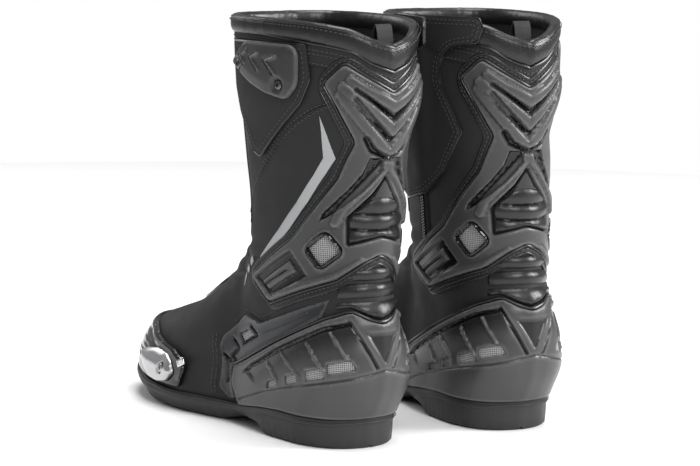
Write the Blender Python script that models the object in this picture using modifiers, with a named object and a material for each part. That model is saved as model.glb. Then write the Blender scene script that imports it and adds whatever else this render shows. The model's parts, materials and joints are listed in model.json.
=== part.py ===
"""A pair of motorcycle racing boots, standing side by side, toes towards +Y.

Every length below is in millimetres and is turned into metres when a mesh is made.
Both boots are worked out in the frame of a right boot: x is lateral, y runs from the heel
to the toe, z is up, and the heel's centre stands at y = HEEL_CENTRE. The left boot is its mirror.

A place on a boot's side is given as (s, z): s is the distance round the boot at height z from the
middle of the back, positive on the lateral side. Near the toe and shin it is (t, z) instead: t is
the distance from the middle of the front, positive on the lateral side.
"""

import math

import bmesh
import bpy
import numpy as np
from mathutils import Matrix, Vector
from mathutils.geometry import delaunay_2d_cdt

MM = 0.001

# ---- Driving dimensions ------------------------------------------------------------------------
FOOT_LENGTH = 316.0
BALL_WIDTH = 103.0
SHAFT_RISE = 216.0  # from the ankle's height to the collar's highest point
HEEL_STACK = 22.0  # the sole's thickness under the heel
BALL_STACK = 14.5  # and under the ball of the foot
TOE_SPRING = 14.0
STANCE = 142.0  # between the two heel centres
TOE_OUT = 4.0  # degrees, each boot

WALL = 2.4  # leather upper
LINING = 1.2
PLATE = 2.8  # moulded guards and frame
SOFT_PAD = 4.0  # padded rolls
SEAT = 1.4  # between a guard and the leather under it
GAP = 0.8  # between pieces that touch, wide enough for both to be faceted
THIN = 0.4  # meshes and the stripe
FLUSH = 0.8  # how far the guards on the foot stand proud of the form
UNDER_GUARD = 2.8  # between them and the foot's leather, wide enough for both to be faceted
SINK = PLATE - FLUSH + UNDER_GUARD  # how deep the foot's leather lies below the form
VENT_MESH_DEPTH = FLUSH - PLATE - 0.8 - THIN  # its inner face, behind the heel counter

FLAP_THICKNESS = 2.2
FLAP_STANDOFF = 6.2
STRAP_THICKNESS = 2.0
SCREW_RADIUS = 3.6
SCREW_PROUD = 0.5
SLIDER_THICKNESS = 3.4
SHELL_GAP = 1.0  # between the leather and the lining inside it
COLLAR_THICKNESS = 9.0
INSOLE_BOARD = 2.0
FOOTBED = 4.0
ZIP_TAPE_WIDTH = 14.0
ZIP_TAPE = 0.8
ZIP_SLIDER = (8.0, 10.0, 2.2)  # width, length, thickness
ZIP_PULLER = (5.0, 20.0, 1.2)

ANKLE_FORWARD = 55.0  # the ankle's axis, from the heel's rear and from the floor
ANKLE_UP = 100.0
ANKLE_PLAY = 3.5  # between the foot's and the shaft's leather at the ankle axis
FOOT_EDGE_SLOPE = 10.0  # degrees, the foot leather's top edge in front of the ankle
SHAFT_EDGE_SLOPE = 32.0  # degrees, the shaft leather's bottom edge in front of it
SHAFT_REAR_SLOPE = 42.0  # and behind it

HEEL_CENTRE = 38.0
CELL = (8.5, 13.0)  # mesh size of the wrapped pieces, round the boot and up it
FINE_CELL = (7.5, 10.5)
SHAFT_ROWS = 8
ROUND = 38  # columns round a shell, closest together at the toe and the heel

# ---- The last: stations of the boot's outer form at its drawn size ---------------------------------
DRAWN_LENGTH = 316.5
DRAWN_BALL = 103.0
DRAWN_RISE = 216.0
DRAWN_TOE = 300.0
BACK = [(0, 4), (20, -1), (56, -18), (93, -14), (105, -9), (120, -5), (150, -3), (180, -3),
        (212, -4), (240, -7.5), (260, -9.5), (300, -9.5), (330, -9.5)]
SHIN = [(0, 120), (60, 122), (120, 126), (160, 126), (210, 129), (260, 137), (300, 142), (330, 144)]
SHAFT_HALF = [(0, 36), (60, 37), (120, 40), (150, 42.5), (180, 44.5), (210, 48.5), (240, 52.5),
              (260, 55), (300, 56.5), (330, 57)]
LEAN = [(0, 0), (95, 0), (120, -1), (150, -2.5), (180, -4), (210, -5), (240, -6.5), (270, -7), (330, -7)]
LATERAL = [(0, 0), (2, 13), (8, 25), (20, 34), (40, 39), (80, 39), (120, 40), (160, 47), (195, 53),
           (225, 52), (255, 43), (280, 29), (293, 17), (298, 7), (299, 0)]
MEDIAL = [(0, 0), (2, 13), (8, 25), (20, 34), (40, 38), (80, 35), (120, 35), (160, 42), (200, 50),
          (225, 50), (255, 43), (280, 30), (293, 17), (298, 7), (299, 0)]
INSTEP = [(-20, 118), (60, 160), (100, 172), (130, 156), (146, 132), (162, 114), (200, 88), (240, 73),
          (270, 61), (287, 46), (296, 28), (300, 0)]
LEVEL_STEP = 2.0
LEVELS = np.arange(-4.0, 336.0, LEVEL_STEP)
RING_POINTS = 121


def smooth_through(stations):
    """A monotone cubic through the stations, so that it never overshoots them."""
    xs, ys = (np.array(column, float) for column in zip(*stations))
    step = np.diff(xs)
    slope = np.diff(ys) / step
    tangent = np.zeros_like(ys)
    for i in range(1, len(xs) - 1):
        if slope[i - 1] * slope[i] > 0:
            before, after = 2 * step[i] + step[i - 1], step[i] + 2 * step[i - 1]
            tangent[i] = (before + after) / (before / slope[i - 1] + after / slope[i])
    tangent[0], tangent[-1] = slope[0], slope[-1]

    def value(x):
        x = np.clip(np.asarray(x, float), xs[0], xs[-1])
        i = np.clip(np.searchsorted(xs, x, side="right") - 1, 0, len(xs) - 2)
        u = (x - xs[i]) / step[i]
        return (
            (1 + 2 * u) * (1 - u) ** 2 * ys[i]
            + u * (1 - u) ** 2 * step[i] * tangent[i]
            + u * u * (3 - 2 * u) * ys[i + 1]
            + u * u * (u - 1) * step[i] * tangent[i + 1]
        )

    return value


back, shin, shaft_half, lean = (smooth_through(s) for s in (BACK, SHIN, SHAFT_HALF, LEAN))
instep = smooth_through(INSTEP)
plan = {1: smooth_through(LATERAL), -1: smooth_through(MEDIAL)}


def half_width(y, z, side):
    """How far the drawn form reaches to that side at a height: the foot's plan and the shaft's oval."""
    rear = back(z)
    along = (y - rear) * DRAWN_TOE / (DRAWN_TOE - rear)
    inside = (along > 0) & (along < DRAWN_TOE - 1)
    flare = 1 + 0.10 * np.exp(-(((z - 52) / 26) ** 2)) * np.exp(-((np.maximum(along, 0) / 90) ** 2))
    dome = np.clip(1 - np.clip(z / instep(y), 0, 1) ** 2.6, 0, 1) ** (1 / 2.2) if z > 0 else 1.0
    foot = np.where(inside, plan[side](along), 0) * flare * dome
    front = float(shin(z))
    widest = rear + 0.575 * (front - rear)
    away = np.where(y > widest, (y - widest) / (front - widest), (widest - y) / (widest - rear))
    power = np.where(y > widest, 3.0, 1.95)
    shaft = shaft_half(z) * np.clip(1 - np.clip(away, 0, 1) ** power, 0, 1) ** (1 / power)
    return (np.maximum(foot, 0) ** 5 + np.maximum(shaft, 0) ** 5) ** 0.2


def front_of(z):
    y = np.linspace(100, DRAWN_TOE, 801)
    foot = y[instep(y) > z]
    return max(foot.max() if len(foot) else 0.0, float(shin(z)))


def build_rings():
    """For each side, the form's points at each level, equally spaced round from the back to the front."""
    rings = {}
    spread = (1 - np.cos(np.linspace(0, np.pi, 600))) / 2
    for side in (1, -1):
        xs, ys, lengths = [], [], []
        for z in LEVELS:
            rear, front = float(back(z)), front_of(z)
            y = rear + (front - rear) * spread
            x = half_width(y, z, side)
            x[0] = x[-1] = 0
            s = np.concatenate([[0], np.cumsum(np.hypot(np.diff(x), np.diff(y)))])
            even = np.linspace(0, s[-1], RING_POINTS)
            xs.append(np.interp(even, s, x))
            ys.append(np.interp(even, s, y))
            lengths.append(s[-1])
        rings[side] = np.array(xs), np.array(ys), np.array(lengths)
    return rings


RINGS = build_rings()
LENGTH_SCALE = FOOT_LENGTH / DRAWN_LENGTH
WIDTH_SCALE = BALL_WIDTH / DRAWN_BALL
RISE_SCALE = SHAFT_RISE / DRAWN_RISE


def reach(z, side):
    """The distance round the drawn form from the middle of the back to the middle of the front."""
    return np.interp(z, LEVELS, RINGS[side][2])


def toe_lift(y, z):
    return TOE_SPRING * np.clip((y - 190) / 110, 0, 1) ** 2 * np.clip(1 - z / 90, 0, 1)


def drawn_to_size(point):
    """Stretches a point of the drawn form to the driving dimensions."""
    x, y, z = point[..., 0], point[..., 1], point[..., 2]
    lifted = z + toe_lift(y, z)
    above = ANKLE_UP + (lifted - ANKLE_UP) * RISE_SCALE
    return np.stack([x * WIDTH_SCALE, y * LENGTH_SCALE, np.where(lifted > ANKLE_UP, above, lifted)], -1)


def on_form(s, z):
    """Points of the outer form at (s, z)."""
    s, z = np.broadcast_arrays(np.asarray(s, float), np.asarray(z, float))
    low = np.clip(((z - LEVELS[0]) / LEVEL_STEP).astype(int), 0, len(LEVELS) - 2)
    mix = (z - LEVELS[low]) / LEVEL_STEP
    flat = np.zeros(s.shape + (2,))
    for side in (1, -1):
        xs, ys, lengths = RINGS[side]
        here = s >= 0 if side > 0 else s < 0
        ends = []
        for level in (low, low + 1):
            u = np.clip(np.abs(s) / lengths[level], 0, 1) * (RING_POINTS - 1)
            k = np.clip(u.astype(int), 0, RING_POINTS - 2)
            f = u - k
            ends.append([g[level, k] * (1 - f) + g[level, k + 1] * f for g in (xs, ys)])
        for axis, sign in ((0, side), (1, 1)):
            value = sign * (ends[0][axis] * (1 - mix) + ends[1][axis] * mix)
            flat[..., axis] = np.where(here, value, flat[..., axis])
    drawn = np.stack([flat[..., 0] + lean(z), flat[..., 1], z], -1)
    return drawn_to_size(drawn)


def off_form(s, z, offset):
    """Points that far outside the form, along its normal."""
    step = 1.0
    across = on_form(s + step, z) - on_form(s - step, z)
    up = on_form(s, z + step) - on_form(s, z - step)
    normal = np.cross(across, up)
    normal /= np.maximum(np.linalg.norm(normal, axis=-1, keepdims=True), 1e-9)
    return on_form(s, z) + normal * np.asarray(offset, float)[..., None]


def from_front(t, z):
    """Turns a place measured from the middle of the front into one measured from the back."""
    t = np.asarray(t, float)
    return np.where(t >= 0, reach(z, 1) - t, -(reach(z, -1) + t))


def smoothstep(x, low, high):
    u = np.clip((x - low) / (high - low), 0, 1)
    return u * u * (3 - 2 * u)


def sole_top(y):
    """The height of the sole's top edge, where the upper meets it."""
    heel = smoothstep(y, 60, 130)
    return HEEL_STACK * (1 - heel) + BALL_STACK * heel + toe_lift(y / LENGTH_SCALE, BALL_STACK)


def settle(height, low, high, u):
    """For each share u round the form, the height where the form crosses height(y), looking up from low."""
    z = np.linspace(low, high, 141)
    found = []
    for share in u:
        side = 1 if share >= 0 else -1
        s = share * reach(z, side)
        points = on_form(s, z)
        above = points[:, 2] - height(points[:, 1])
        crossing = np.nonzero((above[:-1] < 0) & (above[1:] >= 0))[0]
        if len(crossing) == 0:
            found.append(high if above[-1] < 0 else low)
            continue
        k = crossing[-1]
        found.append(z[k] + (z[k + 1] - z[k]) * above[k] / (above[k] - above[k + 1]))
    return np.array(found)


def foot_edge(y):
    """The foot leather's top edge, seen from the side."""
    ahead = y - ANKLE_FORWARD
    front = ANKLE_UP - ANKLE_PLAY / 2 + np.tan(np.radians(FOOT_EDGE_SLOPE)) * ahead
    rear = ANKLE_UP - ANKLE_PLAY / 2 + 0.12 * ahead
    return np.where(ahead > 0, front, rear)


def shaft_edge(y):
    """The shaft leather's bottom edge, seen from the side."""
    ahead = y - ANKLE_FORWARD
    front = ANKLE_UP + ANKLE_PLAY / 2 + np.tan(np.radians(SHAFT_EDGE_SLOPE)) * ahead
    rear = ANKLE_UP + ANKLE_PLAY / 2 - np.tan(np.radians(SHAFT_REAR_SLOPE)) * ahead
    return np.where(ahead > 0, front, rear)


COLLAR_MIDDLE = smooth_through([(0, 289), (16, 294), (35, 302), (72, 307), (110, 308), (230, 308)])
COLLAR_HALF = smooth_through([(0, 10), (35, 9), (72, 8), (230, 7)])


def sunk(s, z):
    """How deep the foot's leather lies: full depth round the heel and above the sole, none on the vamp."""
    return -SINK * np.maximum(1 - smoothstep(np.abs(s), 182, 200), 1 - smoothstep(z, 64, 80))


def round_the_form():
    """Shares round the form, from -1 to 1, closest at the heel and the toe."""
    v = np.linspace(-1, 1, ROUND, endpoint=False)
    return np.sign(v) * (0.64 * np.abs(v) + 0.18 * (1 - np.cos(np.pi * np.abs(v))))


# ---- Making pieces -----------------------------------------------------------------------------------
COLOURS = {
    "leather": ((0.030, 0.030, 0.032), 0.55, 0.0),
    "glossy_leather": ((0.018, 0.018, 0.020), 0.28, 0.0),
    "moulded_grey": ((0.085, 0.085, 0.088), 0.42, 0.0),
    "rubber": ((0.045, 0.045, 0.045), 0.65, 0.0),
    "gloss_black": ((0.010, 0.010, 0.010), 0.12, 0.0),
    "mesh": ((0.45, 0.45, 0.45), 0.60, 0.0),
    "textile": ((0.020, 0.020, 0.022), 0.90, 0.0),
    "reflective": ((0.50, 0.52, 0.54), 0.35, 0.2),
    "satin_metal": ((0.62, 0.62, 0.64), 0.32, 1.0),
    "black_steel": ((0.08, 0.08, 0.08), 0.30, 1.0),
    "nylon_board": ((0.050, 0.050, 0.052), 0.60, 0.0),
}


def make_materials():
    made = {}
    for name, (colour, roughness, metallic) in COLOURS.items():
        material = bpy.data.materials.new(name)
        material.use_nodes = True
        shader = material.node_tree.nodes["Principled BSDF"]
        shader.inputs["Base Color"].default_value = (*colour, 1)
        shader.inputs["Roughness"].default_value = roughness
        shader.inputs["Metallic"].default_value = metallic
        made[name] = material
    return made


class Boot:
    """One boot: side is 1 for the right boot and -1 for the left, its mirror."""

    def __init__(self, side, collection, materials):
        self.side = side
        self.prefix = "right_" if side > 0 else "left_"
        self.collection = collection
        self.materials = materials
        self.root = bpy.data.objects.new(self.prefix + "boot", None)
        collection.objects.link(self.root)
        self.root.location = (side * STANCE / 2 * MM, 0, 0)
        self.root.rotation_euler = (0, 0, -side * math.radians(TOE_OUT))
        self.ankle = self.pivot("ankle_axis", (0, ANKLE_FORWARD, ANKLE_UP))

    def local(self, point):
        """A point of the right boot's frame, in metres in this boot's own frame."""
        x, y, z = point
        return Vector((self.side * x * MM, (y - HEEL_CENTRE) * MM, z * MM))

    def pivot(self, name, point, parent=None):
        """An empty on a joint's axis."""
        empty = bpy.data.objects.new(self.prefix + name, None)
        self.collection.objects.link(empty)
        empty.parent = parent or self.root
        empty.location = self.local(point) - (self.local(parent["place"]) if parent else Vector((0, 0, 0)))
        empty["place"] = tuple(point)
        return empty

    def node(self, name, points, faces, material, carrier=None):
        """A mesh object from points in millimetres. Its faces point outwards on the right boot."""
        origin = self.local(carrier["place"]) if carrier else Vector((0, 0, 0))
        mesh = bpy.data.meshes.new(self.prefix + name)
        corners = [self.local(p) - origin for p in np.asarray(points, float)]
        turned = [tuple(face) if self.side > 0 else tuple(reversed(face)) for face in faces]
        mesh.from_pydata(corners, [], turned)
        mesh.update()
        mesh.shade_smooth()
        mesh.set_sharp_from_angle(angle=math.radians(35))
        obj = bpy.data.objects.new(self.prefix + name, mesh)
        obj.parent = carrier or self.root
        obj.data.materials.append(self.materials[material])
        self.collection.objects.link(obj)
        return obj

    def thicken(self, obj, thickness):
        """Gives an open surface a wall that grows outwards from it."""
        solidify = obj.modifiers.new("wall", "SOLIDIFY")
        solidify.thickness = thickness * MM
        solidify.offset = 1.0
        return obj

    def patch(self, name, outline, inner, thickness, material, carrier=None, holes=(), front=False, cell=CELL):
        """A wrapped plate: a flat pattern in (s, z), or (t, z) from the front, laid on the form."""
        flat, faces = flat_pattern(outline, holes, cell)
        z = flat[:, 1]
        s = from_front(flat[:, 0], z) if front else flat[:, 0]
        points = off_form(s, z, np.full(len(z), inner))
        if front:
            faces = [tuple(reversed(face)) for face in faces]
        return self.thicken(self.node(name, points, faces, material, carrier), thickness)

    def shell(self, name, low, high, rows, offset, thickness, material, carrier=None):
        """A wall all round the form, between two edges given as heights for each share round it."""
        u = round_the_form()
        columns = len(u)
        bottom, top = low(u), high(u)
        mix = np.linspace(0, 1, rows + 1)[:, None]
        z = bottom * (1 - mix) + top * mix
        s = u * np.where(u >= 0, reach(z, 1), reach(z, -1))
        points = off_form(s, z, offset(s, z) - thickness).reshape(-1, 3)
        faces = []
        for i in range(rows):
            for j in range(columns):
                k = (j + 1) % columns
                a, b = i * columns + j, i * columns + k
                faces += [(a, b, b + columns), (a, b + columns, a + columns)]
        return self.thicken(self.node(name, points, faces, material, carrier), thickness)

    def slab(self, name, inset, bottom, top, level, material, bevel=0.0, stations=24):
        """A sole piece: the foot's plan, lofted from heel to toe between two heights."""
        rings = [{side: off_form(np.linspace(0, 1, 400) * reach(z, side) * side, np.full(400, z), np.full(400, -inset))
                  for side in (1, -1)} for z in (BALL_STACK, level)]
        rear = max(ring[1][0, 1] for ring in rings)
        toe = min(ring[1][-1, 1] for ring in rings)
        y = rear + (toe - rear) * (1 - np.cos(np.linspace(0.09, np.pi - 0.09, stations))) / 2
        rims = {side: side * np.minimum(*(side * np.interp(y, ring[side][:, 1], ring[side][:, 0]) for ring in rings))
                for side in (1, -1)}
        points = []
        for k, station in enumerate(y):
            z_low, z_high = bottom(station), top(station)
            narrow = min(bevel, abs(rims[1][k]) * 0.5, abs(rims[-1][k]) * 0.5)
            middle = (z_low + z_high) / 2
            rim = [(rims[1][k] - narrow, z_low), (rims[1][k], middle), (rims[1][k], z_high)]
            rim += [(rims[-1][k], z_high), (rims[-1][k], middle), (rims[-1][k] + narrow, z_low)]
            points += [(x, station, z) for x, z in rim]
        faces = [tuple(range(6)), tuple(reversed(range(len(points) - 6, len(points))))]
        for i in range(stations - 1):
            for j in range(6):
                a, b = i * 6 + j, i * 6 + (j + 1) % 6
                faces.append((a, a + 6, b + 6, b))
        return self.node(name, points, faces, material)

    def turned(self, name, s, z, profile, material, carrier=None, front=False):
        """A turned piece standing on the form at (s, z): profile is (radius, height above the form)."""
        place = from_front(s, z) if front else s
        foot = off_form(np.array([place]), np.array([z]), np.array([0.0]))[0]
        tip = off_form(np.array([place]), np.array([z]), np.array([10.0]))[0]
        axis = Vector(tip - foot).normalized()
        turn = Vector((0, 0, 1)).rotation_difference(axis).to_matrix()
        steps = 12
        points, faces = [], []
        for radius, height in profile:
            for k in range(steps):
                angle = 2 * math.pi * k / steps
                spot = turn @ Vector((radius * math.cos(angle), radius * math.sin(angle), height))
                points.append(Vector(foot) + spot)
        for i in range(len(profile) - 1):
            for k in range(steps):
                a, b = i * steps + k, i * steps + (k + 1) % steps
                faces.append((a, b, b + steps, a + steps))
        faces.append(tuple(reversed(range(steps))))
        faces.append(tuple(range(len(points) - steps, len(points))))
        return self.node(name, points, faces, material, carrier)


def flat_pattern(outline, holes, cell):
    """A triangle mesh of a flat outline with holes, with points inside it about a cell apart."""
    loops = [subdivided([(x / cell[0], y / cell[1]) for x, y in loop]) for loop in [outline, *holes]]
    points, edges = [], []
    for loop in loops:
        start = len(points)
        points += loop
        edges += [(start + i, start + (i + 1) % len(loop)) for i in range(len(loop))]
    rim = np.array(points)
    low, high = rim.min(0), rim.max(0)
    for row, v in enumerate(np.arange(low[1] + 0.5, high[1], 0.87)):
        for w in np.arange(low[0] + 0.5 * (row % 2), high[0], 1.0):
            clear = np.hypot(rim[:, 0] - w, rim[:, 1] - v).min() > 0.5
            if clear and covers(loops, w, v):
                points.append((w, v))
    result = delaunay_2d_cdt([Vector(p) for p in points], edges, [], 0, 1e-6)
    placed = np.array([tuple(p) for p in result[0]])
    faces = []
    for face in result[2]:
        if not covers(loops, *placed[list(face)].mean(0)):
            continue
        a, b, c = (placed[i] for i in face[:3])
        turn = (b[0] - a[0]) * (c[1] - a[1]) - (b[1] - a[1]) * (c[0] - a[0])
        faces.append(tuple(face) if turn > 0 else tuple(reversed(face)))
    return placed * np.array(cell), faces


def covers(loops, x, y):
    """Whether a point is in the first outline and in none of the holes after it."""
    return inside(loops[0], x, y) and not any(inside(hole, x, y) for hole in loops[1:])


def subdivided(loop):
    """The outline with points added, so that none of its edges is much longer than 1."""
    found = []
    for i, start in enumerate(loop):
        end = loop[(i + 1) % len(loop)]
        pieces = max(1, round(math.dist(start, end)))
        for k in range(pieces):
            found.append(tuple(start[j] + (end[j] - start[j]) * k / pieces for j in (0, 1)))
    return found


def inside(loop, x, y):
    """Whether a point is inside a closed outline, by crossings."""
    found = False
    for i, (x1, y1) in enumerate(loop):
        x2, y2 = loop[i - 1]
        if (y1 > y) != (y2 > y) and x < (x2 - x1) * (y - y1) / (y2 - y1) + x1:
            found = not found
    return found


def circle(centre, radius, steps=12):
    turns = [2 * math.pi * k / steps for k in range(steps)]
    return [(centre[0] + radius * math.cos(a), centre[1] + radius * math.sin(a)) for a in turns]


def both_sides(half):
    """A symmetric outline from its lateral half, listed from the back's top to the back's bottom."""
    mirrored = [(-s, z) for s, z in reversed(half) if s > 0]
    return half + mirrored


# ---- Outlines, as (s, z) -------------------------------------------------------------------------------
FRAME_HALF = [(0, 263), (35, 284), (50, 268), (21, 224), (117, 120), (99, 103), (33, 125), (13, 139), (0, 145)]
FRAME_WINDOW = [(-22, 150), (0, 157), (22, 150), (25, 165), (14, 190), (0, 200), (-14, 190), (-25, 165)]
VENT_DIAMOND = [(54, 147), (42, 158), (30, 147), (43, 136)]
LOUVRE_SLOT = [(98, 113), (66, 134), (60, 128), (94, 109)]
ROLLS_GAP = 1.2
VENT_MESH_HALF = [(0, 148), (25, 146), (36, 162), (58, 150), (44, 134), (28, 138), (0, 147)]
BELLOWS_HALF = [(0, 143), (13, 137), (31, 123), (35, 103), (22, 107.5), (10, 101.5), (0, 98.5)]
COUNTER_TOP = [(0, 94), (10, 97), (22, 103), (46, 96), (103, 72.5), (162, 46), (157, 33)]
COUNTER_FOOT = (140, 112, 84, 56, 28, 0)
COUNTER_VENTS = [
    [(97, 41), (107, 38), (109, 44), (99, 47)],
    [(77, 47.5), (88, 45), (90, 51), (79, 54)],
    [(52, 54), (66, 51), (68, 58), (54, 61.5)],
    [(29, 62), (46, 59.5), (47, 66), (30, 69)],
]
HEEL_MESH_HALF = [(0, 73), (30, 71), (110, 49), (112, 36), (28, 60), (0, 63)]
ANKLE_PANEL = [(37, 110), (66, 103), (120, 84.5), (144, 87), (176, 66), (172, 42), (167, 24), (144, 19),
               (160, 32), (165.5, 47.5), (104, 75), (47, 98.5)]
GUARD = [(130, 297), (75, 297), (69, 273), (76, 257), (123, 260), (147, 279)]
GUARD_SCREWS = {"guard_screw_front": (137, 279), "guard_screw_rear": (88, 267)}
GUARD_STRAP = [(66, 298), (62, 272), (70, 254), (108, 211), (118, 215), (142, 244), (150, 262), (150, 296)]
STRIPE = [(54, 246), (36.5, 214), (139, 116), (136, 119), (47, 215)]
FLAP = [(-150, 299), (-118, 299), (-118, 315), (-35, 315), (-37, 297), (-60, 294), (-66, 282),
        (-49, 229), (-73, 190), (-116, 171), (-150, 180)]
FLAP_HINGE = ((-150, 180), (-150, 299))
TOE_CAP = [(137, 20), (138, 35), (127, 43), (112, 47.5), (90, 50), (52, 56), (0, 60), (-52, 56), (-88, 48),
           (-100, 36), (-100, 20), (-50, 18), (0, 18), (50, 18), (100, 19)]
TOE_SLIDER = [(70, 35), (88, 43), (105, 43), (128, 31), (119, 20), (97, 22), (77, 29)]
TOE_SCREW = (113, 31)
SHIN_PLATE = [(-36, 276), (-30, 287), (30, 287), (36, 276), (34, 235), (26, 190), (14, 172), (-14, 172), (-26, 190), (-34, 235)]
ZIP_AT = -96.0
ZIP_TOP, ZIP_BOTTOM = 288.0, 140.0
ZIP_SLIDER_TOP, ZIP_SLIDER_LOW = 280.0, 150.0
ZIP_RISE_TOP, ZIP_RISE_LOW = 2.4, 3.4  # the slider's inner face above the leather, at both ends


def fitted(height):
    """An edge function for a shell: the height where the form crosses height(y)."""
    return lambda u: settle(height, 40.0, 200.0, u)


def build_foot(boot):
    """Everything that stays with the foot when the ankle flexes."""
    boot.shell("foot_upper", lambda u: settle(lambda y: sole_top(y) + GAP, -3.0, 60.0, u), fitted(foot_edge), 9,
               sunk, WALL, "leather")

    def sole_bottom(y):
        breast = 7.0 * smoothstep(y, 76, 92) * (1 - smoothstep(y, 108, 148))
        return breast + float(toe_lift(y / LENGTH_SCALE, 0.0))

    def above_sole(extra):
        return lambda y: float(sole_top(y) + extra)

    boot.slab("outsole", -FLUSH, sole_bottom, above_sole(0), BALL_STACK, "rubber", bevel=5.0)
    board_top = GAP + INSOLE_BOARD
    inset = SINK + WALL + 2 * GAP
    boot.slab("insole_board", inset, above_sole(GAP), above_sole(board_top), BALL_STACK + board_top, "nylon_board")
    bed_top = board_top + GAP + FOOTBED
    boot.slab("footbed", inset, above_sole(board_top + GAP), above_sole(bed_top), BALL_STACK + bed_top, "textile")

    rim = [(s, settle_at(lambda y: sole_top(y) + 1.6, s)) for s in COUNTER_FOOT]
    outline = both_sides(COUNTER_TOP + rim)
    vents = COUNTER_VENTS + [[(-s, z) for s, z in reversed(vent)] for vent in COUNTER_VENTS]
    boot.patch("heel_counter", outline, FLUSH - PLATE, PLATE, "moulded_grey", holes=vents, cell=FINE_CELL)
    boot.patch("heel_vent_mesh", both_sides(HEEL_MESH_HALF), VENT_MESH_DEPTH, THIN, "mesh", cell=FINE_CELL)

    boot.patch("ankle_panel", ANKLE_PANEL, SEAT - SINK, 2.0, "rubber")
    boot.patch("achilles_bellows", both_sides(BELLOWS_HALF), -SOFT_PAD, SOFT_PAD + 0.8, "glossy_leather")

    boot.patch("toe_cap", TOE_CAP, FLUSH - PLATE, PLATE, "gloss_black", front=True,
               holes=[circle(TOE_SCREW, SCREW_RADIUS + GAP)])
    slider_seat = FLUSH + GAP
    boot.patch("toe_slider", TOE_SLIDER, slider_seat, SLIDER_THICKNESS, "satin_metal", front=True,
               holes=[circle(TOE_SCREW, SCREW_RADIUS + GAP)])
    boot.turned("toe_slider_screw", *TOE_SCREW, screw_profile(-1.6, slider_seat + SLIDER_THICKNESS),
                "black_steel", front=True)
    build_vamp_vent(boot)
    build_gusset(boot)


def settle_at(height, s):
    """The height where the form crosses height(y) at a fixed s, near the sole."""
    z = np.linspace(0, 60, 121)
    points = on_form(np.full(121, float(s)), z)
    above = points[:, 2] - height(points[:, 1])
    return float(np.interp(0, above, z))


def screw_profile(low, high):
    """A countersunk screw, from its end to the dome of its head."""
    return [(SCREW_RADIUS * 0.55, low), (SCREW_RADIUS * 0.6, low + 0.8), (SCREW_RADIUS, high - 0.6),
            (SCREW_RADIUS, high), (SCREW_RADIUS * 0.6, high + SCREW_PROUD)]


def build_vamp_vent(boot):
    """The oval air intake on top of the vamp, laid on the form from above."""
    centre, half_long, half_wide = 192.0, 30.0, 15.0
    rings, steps = (1.0, 0.55, 0.0), 16
    points, faces = [], []
    for share in rings[:-1]:
        for k in range(steps):
            angle = 2 * math.pi * k / steps
            points.append(on_top(half_wide * share * math.cos(angle), centre + half_long * share * math.sin(angle)))
    points.append(on_top(0, centre))
    for k in range(steps):
        j = (k + 1) % steps
        faces.append((k, j, steps + j, steps + k))
        faces.append((steps + k, steps + j, 2 * steps))
    boot.thicken(boot.node("vamp_vent", points, faces, "gloss_black"), 2.0)


def on_top(x, y, lift=1.4):
    """The point above (x, y) on the vamp, a little clear of the leather."""
    side = 1 if x >= 0 else -1
    z = np.linspace(40, 120, 161)
    wide = np.array([float(half_width(np.array([y]), level, side)[0]) for level in z])
    covered = np.nonzero(wide >= max(abs(x), 0.4))[0]
    height = z[covered[-1]] if len(covered) else z[0]
    point = drawn_to_size(np.array([x, y, height]))
    return point[0], point[1], point[2] + lift


def build_gusset(boot):
    """The soft leather ring that lets the ankle flex, between the foot's edge and the shaft's."""
    clear = 1.5

    def depth(s, z):
        sides = (SINK - FLUSH) * (1 - smoothstep(np.abs(s), 182, 200))
        return -FLUSH - sides - SOFT_PAD * (1 - smoothstep(np.abs(s), 40, 58))

    boot.shell("ankle_gusset", fitted(lambda y: foot_edge(y) + clear), fitted(lambda y: shaft_edge(y) - clear),
               2, depth, 1.4, "leather")


def build_shaft(boot):
    """Everything that turns with the shaft about the ankle."""
    carrier = boot.ankle

    def under_collar(u):
        around = np.abs(u) * reach(300, 1)
        return COLLAR_MIDDLE(around) - COLLAR_HALF(around) - GAP

    boot.shell("shaft_upper", fitted(shaft_edge), under_collar, SHAFT_ROWS, lambda s, z: 0 * s, WALL,
               "leather", carrier)
    boot.shell("shaft_lining", fitted(shaft_edge), under_collar, SHAFT_ROWS,
               lambda s, z: 0 * s - WALL - SHELL_GAP, LINING, "textile", carrier)
    build_collar(boot, carrier)

    diamonds = [VENT_DIAMOND, [(-s, z) for s, z in VENT_DIAMOND]]
    slots = [LOUVRE_SLOT, [(-s, z) for s, z in LOUVRE_SLOT]]
    mesh_seat = GAP
    boot.patch("calf_vent_mesh", both_sides(VENT_MESH_HALF), mesh_seat, THIN, "mesh", carrier)
    boot.patch("calf_frame", both_sides(FRAME_HALF), mesh_seat + THIN + GAP, PLATE, "moulded_grey", carrier,
               holes=[FRAME_WINDOW] + diamonds + slots)
    window = [shrunk(p, FRAME_WINDOW, ROLLS_GAP) for p in FRAME_WINDOW]
    boot.patch("calf_rolls", window, SEAT, SOFT_PAD, "glossy_leather", carrier)

    boot.patch("guard_strap", GUARD_STRAP, SEAT, STRAP_THICKNESS, "leather", carrier)
    guard_seat = SEAT + STRAP_THICKNESS + GAP
    holes = [circle(place, SCREW_RADIUS + GAP) for place in GUARD_SCREWS.values()]
    boot.patch("guard_plate", GUARD, guard_seat, PLATE, "moulded_grey", carrier, holes=holes)
    for name, (s, z) in GUARD_SCREWS.items():
        boot.turned(name, s, z, screw_profile(guard_seat, guard_seat + PLATE), "black_steel", carrier)
    boot.patch("shin_plate", SHIN_PLATE, SEAT, PLATE * 0.7, "gloss_black", carrier, front=True)
    boot.patch("side_stripe", STRIPE, GAP, THIN, "reflective", carrier)
    build_pull_loop(boot, carrier)


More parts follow.
